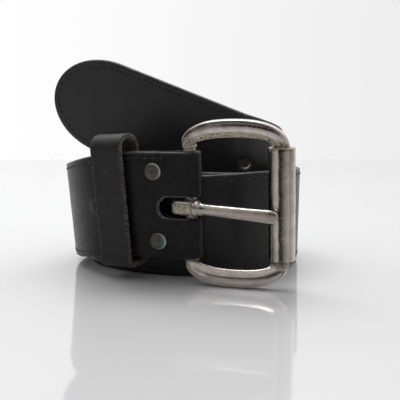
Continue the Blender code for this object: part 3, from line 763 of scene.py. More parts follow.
def punches(holes_only):
    """All the holes through a flat ply, as one mesh of separate cutters."""
    bm = bmesh.new()
    for name, distance, height in RIVETS:
        cylinder_points(bm, distance, height, RIVET_STEM_RADIUS + PLY_GAP)
        if not holes_only:
            cylinder_points(bm, -FOLD_LENGTH - distance, height, RIVET_STEM_RADIUS + PLY_GAP)
    for x, y in hole_places():
        cylinder_points(bm, x, y, HOLE_RADIUS)
    if not holes_only:
        turns = [math.radians(7.5 * i) for i in range(25)]
        outline = []
        for end, sign in ((SLOT_FAR, 1), (SLOT_NEAR, -1)):
            radius = sign * SLOT_RADIUS
            outline += [(end + radius * math.sin(a), SLOT_OFFSET + radius * math.cos(a)) for a in turns]
        loft(bm, [[(x, y, z) for x, y in outline] for z in (-9 * MM, 9 * MM)])
    bmesh.ops.recalc_face_normals(bm, faces=bm.faces[:])
    return bm


def punched(bm, cutter_bm):
    """The flat ply less its holes, as a new bmesh."""
    made = []
    for name, source in (("flat_ply", bm), ("punches", cutter_bm)):
        mesh = bpy.data.meshes.new(name)
        source.to_mesh(mesh)
        source.free()
        obj = bpy.data.objects.new(name, mesh)
        bpy.context.scene.collection.objects.link(obj)
        made.append(obj)
    flat, cutter = made
    modifier = flat.modifiers.new("punches", "BOOLEAN")
    modifier.operation = "DIFFERENCE"
    modifier.solver = "EXACT"
    modifier.object = cutter
    bpy.context.view_layer.update()
    result = bmesh.new()
    result.from_mesh(flat.evaluated_get(bpy.context.evaluated_depsgraph_get()).to_mesh())
    bpy.data.objects.remove(flat, do_unlink=True)
    bpy.data.objects.remove(cutter, do_unlink=True)
    return result


def edge_distance(x, y):
    """How far a flat point is from the strap's outline."""
    y = abs(y)
    if x < belt_length - STRAP_WIDTH / 2 - TIP_ROUNDING:
        return STRAP_WIDTH / 2 - y
    low, high = -0.5 * MM, STRAP_WIDTH / 2 - 0.001 * MM
    for _ in range(18):
        trim = (low + high) / 2
        half = STRAP_WIDTH / 2 - trim
        run = max(0.0, (x - (belt_length - trim - TIP_ROUNDING)) / TIP_ROUNDING)
        inside = run * run + (y / half) ** 2 < 1
        low, high = (trim, high) if inside else (low, trim)
    return low


def hole_dish(x, y):
    """From 1 at the nearest hole's rim down to 0 a little away from it."""
    nearest = min(math.hypot(x - cx, y - cy) for cx, cy in hole_places())
    return max(0.0, 1 - max(0.0, nearest - HOLE_RADIUS) / HOLE_DISH_WIDTH)


def slot_rim(x, y):
    """Distance outside the slot's rim."""
    along = min(max(x, SLOT_NEAR), SLOT_FAR)
    return max(0.0, math.hypot(x - along, y - SLOT_OFFSET) - SLOT_RADIUS)


def finish_ply(name, bm, outer, side, material):
    """Press the rims in, note where the leather is worn, and roll the ply up."""
    edges, worn, handled = [], [], []
    for vert in bm.verts:
        x, y, z = vert.co
        edge = edge_distance(x, y)
        rim = hole_dish(x, y)
        slot = slot_rim(x, y) if side > 0 else 1.0
        slot_worn = max(0.0, 1 - slot / SLOT_DISH_WIDTH)
        # The lower edge counts as 0.55 mm farther in, so the painted edge highlight is fainter and narrower
        # there than on the top edge.
        edges.append(edge / MM + (0.55 if y < 0 else 0.0))
        near_tip = smoothstep((x - belt_length + 190 * MM) / (110 * MM))
        # Grows away from the heel and most near the tip: it paints the leather lighter and raises its
        # specular level.
        handled.append(0.75 * near_tip + 0.42 * smoothstep((x - 0.1) / 0.2))
        worn.append(max(rim ** 3, slot_worn if x > 0 else 0.0))
        if side * (z - outer) > -SKIN_DEPTH:
            z -= side * (HOLE_DISH_DEPTH * rim ** 2 + SLOT_DISH_DEPTH * slot_worn ** 2)
            around = min(math.hypot(x - distance, y - height) for _, distance, height in RIVETS)
            z += side * RIVET_RING_HEIGHT * math.exp(-((around - RIVET_RING_RADIUS) / RIVET_RING_WIDTH) ** 2)
            if edge > 1.5 * MM:
                z += side * WAVE_HEIGHT * rough((x, y, 0), WAVE_LENGTH)
        vert.co = rolled((x, y, z))
    return finished(name, bm, material, 40, edge_mm=edges, worn=worn, handled=handled)


def make_face_ply(material):
    profile = edge_profile(FACE_ROWS, EDGE_ROUNDING, FACE_THICKNESS)
    flat = flat_strap(-FOLD_LENGTH - FOLD_BACK_END, profile, FACE_OUT, 1, 1.6 * MM)
    return finish_ply("face_ply", punched(flat, punches(False)), FACE_OUT, 1, material)


def make_lining_ply(material):
    profile = edge_profile(LINING_ROWS, 0.5 * MM, LINING_THICKNESS)
    flat = flat_strap(LINING_START, profile, LINING_OUT, -1, 2.0 * MM)
    return finish_ply("lining_ply", punched(flat, punches(True)), LINING_OUT, -1, material)


def make_slot_fringe(material):
    """Pale torn fibres round the end of the slot that is away from the bar."""
    shake = random.Random(4)
    bm = bmesh.new()
    for _ in range(SLOT_FIBRES):
        angle = shake.gauss(0.0, 0.62)
        reach = SLOT_RADIUS + shake.uniform(-0.15, 0.40) * MM
        c, s = math.cos(angle), math.sin(angle)
        x, y = SLOT_FAR + reach * c, SLOT_OFFSET + reach * s
        depth = shake.uniform(0.05, 1.7) * MM if reach < SLOT_RADIUS + 0.1 * MM else 0.25 * MM
        root = rolled((x, y, FACE_OUT - depth))
        out = (rolled((x, y, FACE_OUT - depth + 0.3 * MM)) - root).normalized()
        inward = (rolled((x - c * MM, y - s * MM, FACE_OUT - depth)) - root).normalized()
        way = (out * shake.uniform(0.2, 1.0) + inward * shake.uniform(-0.3, 0.8)
               + inward.cross(out) * shake.uniform(-0.8, 0.8)).normalized()
        add_fibre(bm, root, way, shake.uniform(0.4, 0.95) * MM, shake.uniform(0.06, 0.12) * MM)
    return object_from("slot_fringe", bm, material, 180)


# ---------------------------------------------------------------- stitches

def seam_path():
    """Flat points along the seam: out along the lower edge, round the tip and back."""
    half = STRAP_WIDTH / 2 - SEAM_INSET
    turn_at = belt_length - SEAM_INSET - TIP_ROUNDING
    path = [Vector((SEAM_START, -half)), Vector((turn_at, -half))]
    for k in range(1, 120):
        angle = math.pi * k / 120
        path.append(Vector((turn_at + TIP_ROUNDING * math.sin(angle), -half * math.cos(angle))))
    path += [Vector((turn_at, half)), Vector((SEAM_START, half))]
    return path


def along_path(path, pitch, offset):
    """(point, direction) at even steps along a flat path."""
    places = []
    wait = offset
    for a, b in zip(path, path[1:]):
        length = (b - a).length
        while wait < length:
            places.append((a.lerp(b, wait / length), (b - a).normalized()))
            wait += pitch
        wait -= length
    return places


def add_stitch(bm, point, direction, out, length):
    """One stitch: a low arched bead whose ends go down into their holes."""
    side = out.cross(direction).normalized()
    rings = []
    for i in range(7):
        t = i / 6 * 2 - 1
        swell = math.sqrt(max(0.05, 1 - abs(t) ** 3.2))
        centre = point + direction * (t * length / 2) + out * (STITCH_HEIGHT * (0.55 - 1.25 * abs(t) ** 3))
        ring = []
        for k in range(8):
            angle = math.tau * k / 8
            ring.append(centre + side * math.cos(angle) * STITCH_WIDTH / 2 * swell
                        + out * math.sin(angle) * STITCH_HEIGHT / 2 * swell)
        rings.append(ring)
    loft(bm, rings)


def make_stitches(name, outer, side, first, offset, material):
    shake = random.Random(7)
    bm = bmesh.new()
    for flat, way in along_path(seam_path(), STITCH_PITCH, offset):
        if flat.x < first:
            continue
        base = outer - side * (GROOVE_DEPTH * 0.75)
        point = rolled((flat.x, flat.y, base))
        ahead = rolled((flat.x + way.x * 0.2 * MM, flat.y + way.y * 0.2 * MM, base))
        out = (rolled((flat.x, flat.y, base + side * 0.2 * MM)) - point).normalized()
        direction = (ahead - point).normalized()
        slant = 0.10 * side + shake.uniform(-0.03, 0.03)
        direction = (direction + out.cross(direction) * slant).normalized()
        add_stitch(bm, point, direction, out, STITCH_LENGTH * shake.uniform(0.88, 1.02))
    return finished(name, bm, material, 60)


# ---------------------------------------------------------------- rivets

def make_rivet(name, distance, height, material, back, green, black=0.0):
    """A domed cap with a rolled rim, front or back, pressed into the leather, with a painted highlight on
    one side of its rim.
    """
    front = FACE_OUT + PLY_GAP * 0.4
    behind = -(LINING_THICKNESS + PLY_GAP * 1.5 + FACE_THICKNESS) - PLY_GAP
    rim = RIVET_CAP_RADIUS
    if back:
        side, base, crown = -1, behind, 0.55 * MM
    else:
        side, base, crown = 1, front, 0.95 * MM
    dome = ((0.0, 1.0), (0.35, 0.99), (0.6, 0.95), (0.78, 0.86), (0.88, 0.74), (0.94, 0.60), (0.985, 0.38),
            (1.0, 0.18))
    stem = RIVET_STEM_RADIUS / rim
    profile = [(radius, crown * share) for radius, share in dome]
    profile += [(0.985, 0.02 * MM), (0.93, 0.0), (0.50, 0.0)]
    profile += [(stem, -0.10 * MM), (stem, -1.2 * MM), (0.0, -1.2 * MM)]
    segments = 64
    bm = bmesh.new()
    rows = []
    for radius, z in profile:
        count = 1 if radius == 0 else segments
        rows.append([bm.verts.new((radius * rim * math.cos(math.tau * k / segments),
                                   radius * rim * math.sin(math.tau * k / segments),
                                   base + side * z)) for k in range(count)])
    for row, following in zip(rows, rows[1:]):
        for k in range(segments):
            m = (k + 1) % segments
            corners = [row[k % len(row)], row[m % len(row)], following[m % len(following)],
                       following[k % len(following)]]
            bm.faces.new(list(dict.fromkeys(corners)))
    greens, rims = [], []
    # Painted highlight: a pale crescent on the rim, brightest on the side turned towards the angle lit.
    lit = math.radians(35 if green < 0.5 else -10)
    for vert in bm.verts:
        x, y, z = vert.co
        reach = x / rim + 0.16 * rough((x, y, 0), 1.2 * MM, 3.0)
        greens.append(green * smoothstep((reach - 0.42) / 0.25))
        radius = math.hypot(x, y) / rim
        turned_to = 0.5 + 0.5 * math.cos(math.atan2(y, x) - lit)
        rims.append(smoothstep((radius - 0.84) / 0.08) * (0.12 + 0.88 * turned_to ** 2) * (1 - black))
    return finished(name, bm, material, 40, station_at(distance).matrix(height),
                    verdigris=greens, blackened=[black] * len(greens), rim=rims)


# ---------------------------------------------------------------- keeper

def keeper_outline():
    """Points (across, out) and the way out of the band's outer surface, all round the keeper."""
    low_z, high_z = KEEPER_REAR - KEEPER_WALL, KEEPER_FRONT + KEEPER_WALL
    low_y, high_y = KEEPER_BOTTOM - KEEPER_WALL, KEEPER_TOP + KEEPER_WALL
    round_top = (high_z - low_z - KEEPER_TOP_FLAT) / 2
    corners = ((low_y, high_z, KEEPER_CORNER, 270), (high_y, high_z, round_top, 0),
               (high_y, low_z, round_top, 90), (low_y, low_z, KEEPER_CORNER, 180))
    outline = []
    for y, z, radius, start in corners:
        centre_y = y - radius if y > 0 else y + radius
        centre_z = z - radius if z > 0 else z + radius
        for i in range(19):
            angle = math.radians(start + 5 * i)
            way = (math.sin(angle), math.cos(angle))
            outline.append((centre_y + radius * way[0], centre_z + radius * way[1], way))
    filled = []
    for a, b in zip(outline, outline[1:] + outline[:1]):
        filled.append(a)
        gap = math.hypot(b[0] - a[0], b[1] - a[1])
        count = int(gap / (1.2 * MM))
        for i in range(1, count):
            t = i / count
            filled.append((a[0] + (b[0] - a[0]) * t, a[1] + (b[1] - a[1]) * t,
                           (a[2][0] + (b[2][0] - a[2][0]) * t, a[2][1] + (b[2][1] - a[2][1]) * t)))
    return filled


def keeper_section():
    """(along the strap, depth into the leather, raw) round the band's cut section."""
    half, wall, corner = KEEPER_WIDTH / 2, KEEPER_WALL, KEEPER_EDGE_ROUNDING
    section = []
    for i in range(13):
        x = -half + corner + (2 * half - 2 * corner) * i / 12
        section.append((x, 0.0, 0.0))
    for i in range(1, 4):
        angle = math.radians(30 * i)
        section.append((half - corner + corner * math.sin(angle), corner - corner * math.cos(angle), i / 3))
    for i in range(1, 5):
        t = i / 5
        depth = corner + (wall - corner - 0.2 * MM) * t
        section.append((half + 0.06 * MM * math.sin(math.pi * t), depth, 1.0))
    for i in range(9):
        section.append((half - 0.25 * MM - (2 * half - 0.5 * MM) * i / 8, wall, 1.0))
    for i in range(1, 5):
        t = 1 - i / 5
        depth = corner + (wall - corner - 0.2 * MM) * t
        section.append((-half - 0.06 * MM * math.sin(math.pi * t), depth, 1.0))
    for i in range(1, 4):
        angle = math.radians(90 - 30 * i)
        depth = corner - corner * math.cos(angle)
        section.append((-half + corner - corner * math.sin(angle), depth, 1 - i / 3))
    return section[:-1]


def keeper_place():
    return station_at(KEEPER_AT).matrix() @ Matrix.Rotation(-KEEPER_UPRIGHT, 4, "Z")


def make_keeper(material):
    """The keeper's band, with uneven cut edges."""
    outline = keeper_outline()
    section = keeper_section()
    bm = bmesh.new()
    rings, raws, rims = [], [], []
    for y, z, (out_y, out_z) in outline:
        ring = []
        for x, depth, raw in section:
            edge = abs(x) / (KEEPER_WIDTH / 2)
            wander = 0.22 * MM * rough((y, z, math.copysign(9 * MM, x)), 6 * MM, 2.0) * edge ** 4
            wander += 0.07 * MM * rough((y, z, x), 1.1 * MM, 5.0) * edge ** 4 * (1 if raw else 0.3)
            sink = depth + 0.06 * MM * rough((x, y, z), 5 * MM, 8.0) * (1 if depth == 0 else 0.5)
            if raw == 1.0:
                sink += 0.06 * MM * rough((x, y, z), 0.8 * MM, 11.0)
            sink = max(0.0, sink)
            ring.append((x + wander, y - out_y * sink, z - out_z * sink))
            raws.append(raw)
            patch = 0.25 if rough((x, y, z), 6 * MM) > 0.3 else 0.0
            rims.append((smoothstep((edge - 0.88) / 0.10) + patch) * (1 - raw))
        rings.append(ring)
    loft(bm, rings, closed=True)
    return finished("keeper_band", bm, material, 60, keeper_place(), raw=raws, rim=rims)


def make_keeper_fibres(material):
    """Short loose fibres that stand off the keeper's two cut edges."""
    shake = random.Random(21)
    outline = keeper_outline()
    bm = bmesh.new()
    for _ in range(KEEPER_FIBRES):
        y, z, (out_y, out_z) = outline[shake.randrange(len(outline))]
        end = shake.choice((-1, 1))
        depth = shake.uniform(0.25, KEEPER_WALL / MM - 0.1) * MM
        root = Vector((end * (KEEPER_WIDTH / 2 - 0.15 * MM), y - out_y * depth, z - out_z * depth))
        way = Vector((end * shake.uniform(0.4, 1.0), shake.uniform(-1, 1), shake.uniform(-1, 1)))
        length = shake.uniform(0.25, 0.75) * MM
        add_fibre(bm, root, way.normalized(), length, shake.uniform(0.04, 0.08) * MM)
    bm.transform(keeper_place())
    return object_from("keeper_fibres", bm, material, 180)


# ---------------------------------------------------------------- buckle

def joint(name):
    return next(j for j in frame["joints"] if j["name"] == name)


def make_buckle_matrix():
    """The buckle's own frame, X from the heel bar to the roller, Y up along the bar and Z outwards, and the
    distance between the two bars."""
    bar = Vector(joint("buckle_swing")["pos_m"])
    roller = Vector(joint("roller_spin")["pos_m"])
    up = -Vector(joint("buckle_swing")["axis"]).normalized()
    reach = (roller - bar).normalized()
    out = reach.cross(up).normalized()
    placed = Matrix([[column[i] for column in (reach, up, out)] for i in range(3)]).to_4x4()
    placed.translation = bar
    return placed, (roller - bar).length


def arch(t, left, right, top, left_power, right_power, lift):
    """A flattened arch from the heel bar's end over top to the front bar's end, for t from 0 to 1."""
    power = left_power if t < 0.5 else right_power
    base = HEEL_BAR_END + (FRONT_BAR_END - HEEL_BAR_END) * t + lift
    angle = math.pi * (1 - t)
    c, s = math.cos(angle), math.sin(angle)
    x = (left + right) / 2 + (right - left) / 2 * math.copysign(abs(c) ** (2 / power), c)
    return x, base + (top - base) * abs(s) ** (2 / power)


def bow_stations(steps=72):
    """(outer point, inner point, half thickness, rise, place along) over the upper bow, left to right."""
    stations = []
    for i in range(steps + 1):
        t = 0.5 - 0.5 * math.cos(math.pi * i / steps)
        outer = arch(t, BOW_OUTER_LEFT, BOW_OUTER_RIGHT, BOW_OUTER_HEIGHT, BOW_OUTER_POWER, BOW_OUTER_POWER,
                     BOW_BASE_STEP)
        inner = arch(t, BOW_INNER_LEFT, BOW_INNER_RIGHT, BOW_INNER_HEIGHT, BOW_INNER_LEFT_POWER,
                     BOW_INNER_RIGHT_POWER, BOW_INNER_BASE_STEP)
        swell = math.sin(math.pi * min(1.0, max(0.0, t))) ** 0.5
        thick = BOW_HALF_THICKNESS - BOW_END_THINNER * (1 - swell)
        stations.append((outer, inner, thick, BOW_RISE * swell, t))
    return stations


# Height of a bow's front above its middle, from its inner rim (-1) to its outer rim (1)
BOW_FRONT = ((-1.0, 0.0), (-0.94, 0.22), (-0.35, 0.86), (-0.1, 0.97), (0.25, 1.0), (0.6, 0.90), (0.72, 0.80),
             (0.80, 0.84), (0.90, 0.66), (1.0, 0.0))
# Depth of the painted dark reflection across a bow's front, from its inner rim to its outer rim
BOW_PAINTED_REFLECTION = ((-1.0, 0.10), (-0.40, 0.08), (-0.28, 0.0), (0.10, 0.25), (0.45, 0.55), (0.66, 0.80),
              (0.74, 0.85), (0.80, 0.0), (1.0, 0.0))


def between_keys(keys, x):
    """Straight lines between (x, value) keys."""
    for (x0, y0), (x1, y1) in zip(keys, keys[1:]):
        if x <= x1:
            return y0 + (y1 - y0) * (x - x0) / (x1 - x0)
    return keys[-1][1]


def make_buckle_frame(material):
    """The casting: beaded outer rims, broad faces and a pitted bevel inside the two bows."""
    top = bow_stations()
    bottom = [((o[0], -o[1]), (i[0], -i[1]), h, r, t) for o, i, h, r, t in top]
    front, heel = [], []
    for k in range(13):
        y = FRONT_BAR_END * (1 - k / 6)
        front.append(((buckle_length + FRONT_BAR_RADIUS, y), (buckle_length - FRONT_BAR_RADIUS, y),
                      FRONT_BAR_RADIUS, 0.0, None))
        y = HEEL_BAR_END * (k / 6 - 1)
        heel.append(((-BAR_RADIUS, y), (BAR_RADIUS, y), BAR_RADIUS, 0.0, None))
    rings, dirt, streak = [], [], []
    for outer, inner, thick, rise, t in top + front + bottom[::-1] + heel:
        centre = Vector(((outer[0] + inner[0]) / 2, (outer[1] + inner[1]) / 2, rise))
        reach = Vector(((outer[0] - inner[0]) / 2, (outer[1] - inner[1]) / 2, 0.0))
        lower = outer[1] < 0
        shaped = 0.0 if t is None else smoothstep(min(t, 1 - t) / 0.10)
        ring = []
        for k in range(56):
            angle = math.tau * k / 56
            c, s = math.cos(angle), math.sin(angle)
            if s > 0:
                high = s * (1 - shaped) + through_keys(BOW_FRONT, c) * shaped
            else:
                high = -math.copysign(abs(s) ** 0.86, -s)
            point = centre + reach * c + Vector((0, 0, thick * high))
            bevel = smoothstep((-c - 0.28) / 0.14) * smoothstep((s + 0.15) / 0.3) * shaped
            point.z += BOW_DENTS * rough(point, 3 * MM, 4.0) - BOW_PITS * bevel * rough(point, 0.7 * MM, 2.0)
            if t is not None:
                # The bow's root clears the strap's edge when the buckle swings towards the roll
                point.y += math.copysign(BOW_ROOT_CLEARANCE, outer[1]) * (1 - smoothstep(t / 0.12))
            ring.append(point)
            end = 0.8
            if t is not None:
                end = max(smoothstep((0.10 - t) / 0.08), 0.8 * smoothstep((t - 0.90) / 0.06))
            dirt.append(min(1.0, max(bevel * (0.16 if lower else 1.0), end)))
            # Painted reflection and shade: a dark band across the front under the bright rim, the left of
            # the upper bow darker, and little on the lower bow.
            depth = between_keys(BOW_PAINTED_REFLECTION, c) if s > 0 else 0.3
            left = 0.45 * smoothstep((0.45 - t) / 0.35) if t is not None else 0.3
            wander = 0.75 + 0.5 * rough(point, 4 * MM, 15.0)
            streak.append(min(1.0, (depth * (0.12 if lower else 1.0) + (0.0 if lower else left)) * wander))
        rings.append(ring)
    bm = bmesh.new()
    loft(bm, rings, closed=True)
    return finished("buckle_casting", bm, material, 60, buckle_matrix, dirt=dirt, streak=streak)


# (centre x, y, z; radii x, y, z) in mm of the cast lumps where the bows meet the two bars
KNUCKLES = ((0.5, 23.3, 0.9, 2.7, 1.0, 2.6), (2.3, 23.7, 1.6, 1.3, 1.0, 1.4),
            (-1.3, 23.5, 1.7, 1.2, 0.9, 1.3), (0.3, -23.4, 0.9, 2.6, 1.0, 2.6),
            (2.2, -23.8, 1.5, 1.3, 1.0, 1.3), (36.9, 24.3, 1.3, 2.4, 1.1, 2.4),
            (39.4, 24.1, 0.8, 2.0, 1.0, 2.2), (37.3, -24.3, 1.1, 2.2, 1.0, 2.2))
# Height in mm, from the buckle's middle, that the lumps at the fold stay under, clear of the strap's edge
STRAP_LOWER_EDGE = -23.9


def make_knuckles(material):
    """Rough, dirty lumps left by the casting at the ends of both bars."""
    bm = bmesh.new()
    for x, y, z, radius_x, radius_y, radius_z in KNUCKLES:
        made = bmesh.ops.create_icosphere(bm, subdivisions=4, radius=1.0)["verts"]
        for vert in made:
            way = vert.co.copy()
            swell = 1 + 0.16 * rough(way, 0.55, x) + 0.08 * rough(way, 0.2, y)
            height = y + way.y * radius_y * swell
            if y < 0 and x < BAR_RADIUS / MM:
                height = min(height, STRAP_LOWER_EDGE)
            vert.co = Vector((x + way.x * radius_x * swell, height, z + way.z * radius_z * swell)) * MM
    count = len(bm.verts)
    # Besides their dirt, the lumps get an even share of painted shade.
    return finished("buckle_knuckles", bm, material, 60, buckle_matrix,
                    dirt=[0.62] * count, streak=[0.25] * count)


# Depth of the painted dark reflection bands round the roller, in degrees from its outward side towards the
# belt's free end
ROLLER_PAINTED_REFLECTION = ((-180, 0.4), (-95, 0.35), (-66, 0.35), (-60, 0.65), (-34, 0.68), (-24, 0.12),
                 (-8, 0.05), (-3, 1.0), (8, 0.97), (12, 0.80), (19, 0.62), (28, 0.38), (38, 0.20),
                 (43, 0.22), (45, 0.50), (49, 0.45), (52, 0.15), (75, 0.0), (95, 0.3), (180, 0.4))


def make_roller(material):
    """A tube rolled from sheet, with rounded ends, small dents and its open seam."""
    seam = math.degrees(ROLLER_SEAM / ROLLER_RADIUS)
    angles = [math.radians(150 + seam / 2 + (360 - seam) * i / 96) for i in range(97)]
    steps = 60
    levels = [-ROLLER_HALF, -ROLLER_HALF + 0.08 * MM, -ROLLER_HALF + 0.25 * MM]
    levels += [-ROLLER_HALF + 0.6 * MM + (2 * ROLLER_HALF - 1.2 * MM) * i / steps for i in range(steps + 1)]
    levels += [ROLLER_HALF - 0.25 * MM, ROLLER_HALF - 0.08 * MM, ROLLER_HALF]
    rows, dirt, streak = [], [], []
    for z in levels:
        from_end = ROLLER_HALF - abs(z)
        tuck = 0.30 * MM * max(0.0, 1 - from_end / (0.5 * MM)) ** 2
        ring = []
        for wall, sign in ((ROLLER_RADIUS, 1), (ROLLER_BORE, -1)):
            for a in angles[::sign]:
                radius = wall - (tuck if sign > 0 else 0)
                if sign > 0:
                    place = (5 * MM * math.cos(a), 5 * MM * math.sin(a), z)
                    radius += ROLLER_DENTS * (rough(place, 5 * MM, 6.0) - 0.4)
                ring.append((radius * math.cos(a), radius * math.sin(a), z))
                turn = (math.degrees(a) + 90 + 180) % 360 - 180
                turn += 2.5 * rough((turn / 9 * MM, 0, z), 5 * MM, 3.0)
                end = 0.6 * smoothstep((0.5 * MM - from_end) / (0.4 * MM))
                pitted = 0.70 * smoothstep((9 - abs(turn + 40)) / 6) * smoothstep((1 * MM - z) / (6 * MM))
                speckled = 0.22 * smoothstep((4 - abs(turn + 9)) / 3)
                dirt.append(max(end, pitted, speckled) if sign > 0 else 1.0)
                turn = max(-180, min(180, turn))
                # Painted reflection: darker bands round the outside of the roller; the bore gets an even
                # painted shade.
                streak.append(between_keys(ROLLER_PAINTED_REFLECTION, turn) if sign > 0 else 0.5)
        rows.append(ring)
    bm = bmesh.new()
    loft(bm, rows)
    upright = Matrix.Rotation(math.radians(-90), 4, "X")
    placed = buckle_matrix @ Matrix.Translation((buckle_length, 0, 0)) @ upright
    return finished("roller_tube", bm, material, 35, placed, dirt=dirt, streak=streak)


# (distance along, half width across, underside, top) in mm of the prong's sections
PRONG_SECTIONS = ((-8.3, 1.6, -1.6, 1.8), (-8.15, 2.3, -2.5, 2.7), (-7.6, 2.9, -3.3, 3.7),
                  (-6.4, 3.3, -4.1, 4.7), (-4.8, 3.42, -4.5, 5.2), (-3.2, 3.45, -4.6, 5.5),
                  (-1.8, 3.42, -4.6, 5.75), (-0.5, 3.38, -4.6, 5.9), (0.5, 3.25, -4.5, 6.0),
                  (1.2, 3.0, -4.3, 6.0), (1.6, 2.95, -4.1, 6.05), (1.9, 3.25, -4.0, 6.35),
                  (2.3, 3.5, -3.7, 6.7), (2.9, 3.55, -3.2, 6.85), (3.4, 3.45, -2.6, 6.75),
                  (3.8, 3.0, -1.6, 6.45), (4.2, 2.6, -0.6, 6.25), (4.6, 2.5, -0.1, 6.2),
                  (5.0, 2.7, 0.4, 6.35), (5.5, 2.7, 0.9, 6.4), (6.0, 2.42, 1.2, 6.2),
                  (7.0, 2.3, 1.6, 6.15), (10.0, 2.3, 2.2, 6.45), (16.0, 2.4, 3.1, 7.2),
                  (21.0, 2.45, 3.9, 7.75), (26.0, 2.5, 4.6, 8.3), (31.0, 2.6, 5.3, 8.8),
                  (33.5, 2.7, 5.75, 9.1), (35.4, 2.72, 5.75, 9.2), (36.5, 2.6, 5.78, 9.1),
                  (37.3, 2.2, 5.85, 8.8), (37.8, 1.6, 6.1, 8.3), (38.0, 0.9, 6.4, 7.7))


def make_prong(material):
    """The prong: a faceted block round the bar, a collar of two beads, and a tapered flat-sided shaft."""
    rings, dirt, streak = [], [], []
    for x, half, low, high in PRONG_SECTIONS:
        drop = PRONG_DROP - math.tan(PRONG_SKEW) * max(0.0, x) * MM
        ring = []
        block = x < 0.6
        for k in range(36):
            angle = math.tau * k / 36
            c, s = math.cos(angle), math.sin(angle)
            power = 0.55 if block else 0.72
            y = half * math.copysign(abs(c) ** power, c)
            z = (low + high) / 2 + (high - low) / 2 * math.copysign(abs(s) ** power, s)
            point = Vector((x * MM, y * MM + drop, z * MM))
            point.z += 0.04 * MM * rough(point, 2 * MM, 12.0)
            ring.append(point)
            crease = smoothstep((1.2 - abs(x - 1.4)) / 0.8) + smoothstep((0.6 - abs(x - 4.6)) / 0.5)
            side = smoothstep((abs(c) - 0.55) / 0.3)
            hollow = 0.6 * smoothstep((0.50 - abs(c)) / 0.25) * smoothstep((x + 7.6) / 1.5)
            dirt.append(min(1.0, max(crease, hollow if block else 0.0, 0.15 * side)))
            # Painted reflection: darker along the middle of the prong's outward and inward faces.
            middle = smoothstep((0.75 - abs(c)) / 0.35)
            streak.append(0.45 * middle if block else 0.42 * middle * (1 if c < 0.2 else 0.4))
        rings.append(ring)
    bm = bmesh.new()
    loft(bm, rings)
    bmesh.ops.recalc_face_normals(bm, faces=bm.faces[:])
    cutter = bmesh.new()
    bmesh.ops.create_cone(cutter, cap_ends=True, segments=48, radius1=PRONG_BORE, radius2=PRONG_BORE,
                          depth=16 * MM, matrix=Matrix.Rotation(math.radians(-90), 4, "X"))
    for name, values in (("dirt", dirt), ("streak", streak)):
        layer = bm.verts.layers.float.new(name)
        for vert, value in zip(bm.verts, values):
            vert[layer] = value
    bored = punched(bm, cutter)
    bored.transform(buckle_matrix)
    return object_from("prong_casting", bored, material, 40)


# ---------------------------------------------------------------- room

def make_table(material):
    bm = bmesh.new()
    corners = ((-TABLE_SIDE, TABLE_FRONT), (TABLE_SIDE, TABLE_FRONT),
               (TABLE_SIDE, TABLE_BACK), (-TABLE_SIDE, TABLE_BACK))
    bm.faces.new([bm.verts.new((x, y, 0.0)) for x, y in corners])
    table = object_from("table_top", bm, material)


# (degrees round from straight behind the table, by the left and the front; colour) of the room's walls
WALLS = ((0, (0.93, 0.93, 0.93)), (18, (1.0, 1.0, 1.0)), (62, (1.0, 1.0, 1.0)), (74, (0.17, 0.16, 0.13)),
         (120, (0.13, 0.12, 0.10)), (128, (0.50, 0.48, 0.46)), (138, (0.48, 0.45, 0.43)),
         (146, (0.055, 0.045, 0.040)), (190, (0.045, 0.036, 0.033)), (198, (0.22, 0.20, 0.18)),
         (262, (0.36, 0.33, 0.30)), (274, (0.34, 0.31, 0.28)), (280, (0.08, 0.07, 0.07)),
         (288, (0.80, 0.80, 0.80)), (342, (0.85, 0.85, 0.85)), (360, (0.93, 0.93, 0.93)))
# (from the front, -1, to the back, 1; colour) of its ceiling
CEILING = ((-1.0, (0.22, 0.22, 0.23)), (-0.1, (0.70, 0.70, 0.72)), (0.5, (1.55, 1.55, 1.56)),
           (1.0, (1.25, 1.25, 1.25)))
# Heights of the view direction between which the walls give way to the ceiling
WALL_TOP = 0.28
CEILING_FROM = 0.62


def make_world():
    """A room with a white back wall, darker warm walls on the camera's side and a bright ceiling."""
    world = bpy.data.worlds.new("studio")
    bpy.context.scene.world = world
    world.use_nodes = True
    s = Nodes(world.node_tree)
    way = s.nodes.new("ShaderNodeTexCoord").outputs["Generated"]
    x, y, z = s.add("SeparateXYZ", Vector=way).outputs
    turn = s.math("ARCTAN2", s.math("MULTIPLY", x, -1.0), y)
    full = s.math("FRACT", s.math("ADD", s.math("DIVIDE", turn, math.tau), 1.0))
    walls = s.ramp(full, [(degrees / 360, colour) for degrees, colour in WALLS])
    back = s.math("DIVIDE", s.math("ADD", y, 1.0), 2.0)
    ceiling = s.ramp(back, [((reach + 1) / 2, colour) for reach, colour in CEILING])
    height = s.add("MapRange", Value=z, From_Min=WALL_TOP, From_Max=CEILING_FROM)
    height.interpolation_type = "SMOOTHSTEP"
    mixed = s.mix(height.outputs["Result"], walls, ceiling)
    s.put(mixed, s.nodes["Background"].inputs["Color"])


def make_light():
    """One soft lamp above and a little behind the belt."""
    data = bpy.data.lights.new("top_soft", "AREA")
    data.shape = "RECTANGLE"
    data.size, data.size_y = LAMP_SIZE
    data.energy = LAMP_POWER
    obj = bpy.data.objects.new("top_soft", data)
    obj.location = LAMP_AT
    obj.rotation_euler = (LAMP_AIM - LAMP_AT).to_track_quat("-Z", "Y").to_euler()
    bpy.context.scene.collection.objects.link(obj)


def make_camera():
    data = bpy.data.cameras.new("camera")
    data.lens = LENS
    data.sensor_width = SENSOR
    data.clip_start = 0.01
    obj = bpy.data.objects.new("camera", data)
    obj.location = COIL_AXIS + CAMERA_FROM_COIL
    obj.rotation_euler = (math.pi / 2 - CAMERA_PITCH, 0.0, 0.0)
    bpy.context.scene.collection.objects.link(obj)
    bpy.context.scene.camera = obj


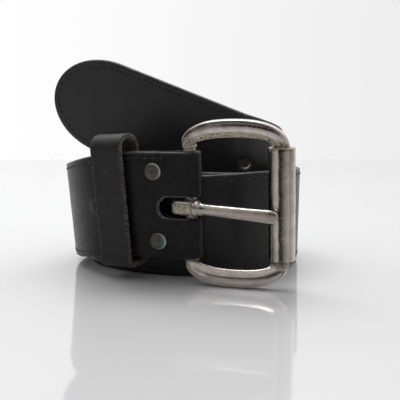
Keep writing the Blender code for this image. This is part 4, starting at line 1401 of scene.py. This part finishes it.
# ---------------------------------------------------------------- build

route = make_route()
route_distances = [station.distance for station in route]
belt_length = route[-1].distance
buckle_matrix, buckle_length = make_buckle_matrix()

make_camera()
make_world()
make_table(make_table_material())
make_light()
bpy.context.scene.view_settings.view_transform = "Standard"

face = make_face_ply(make_face_leather())
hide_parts("strap_face")
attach(face, "strap")

lining = make_lining_ply(make_lining_leather())
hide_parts("strap_lining")
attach(lining, "strap")

thread = make_thread_material()
front_seam = make_stitches("face_stitches", FACE_OUT, 1, SEAM_START, 0.0, thread)
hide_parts("edge_thread")
lining_from = FOLD_BACK_END + 4 * MM
back_seam = make_stitches("lining_stitches", LINING_OUT, -1, lining_from, STITCH_PITCH / 2, thread)
for seam in (front_seam, back_seam):
    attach(seam, "strap")

rivet_metal = make_rivet_metal()
for rivet, distance, height in RIVETS:
    green = {"rivet_lower": 1.0, "rivet_upper": 0.15}.get(rivet, 0.0)
    black = 0.9 if rivet == "rivet_rear" else 0.0
    cap = make_rivet(rivet + "_front", distance, height, rivet_metal, False, green, black)
    post = make_rivet(rivet + "_behind", distance, height, rivet_metal, True, 0.0)
    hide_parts(rivet + "_cap")
    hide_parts(rivet + "_post")
    for piece in (cap, post):
        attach(piece, "strap")

fibre = make_fibre_material("keeper_fibre", (0.055, 0.042, 0.033), (0.24, 0.21, 0.17))
pale_fibre = make_fibre_material("slot_fibre", (0.11, 0.10, 0.09), (0.50, 0.49, 0.46))
fringe = make_slot_fringe(pale_fibre)
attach(fringe, "strap")

keeper = make_keeper(make_keeper_leather())
fibres = make_keeper_fibres(fibre)
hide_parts("keeper_loop")
for piece in (keeper, fibres):
    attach(piece, "keeper")

nickel = make_nickel("worn_nickel")
casting = make_buckle_frame(nickel)
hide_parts("buckle_frame")
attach(casting, "buckle")
knuckles = make_knuckles(nickel)
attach(knuckles, "buckle")
tube = make_roller(nickel)
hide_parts("buckle_roller")
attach(tube, "roller")
prong = make_prong(nickel)
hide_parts("buckle_prong")
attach(prong, "prong")
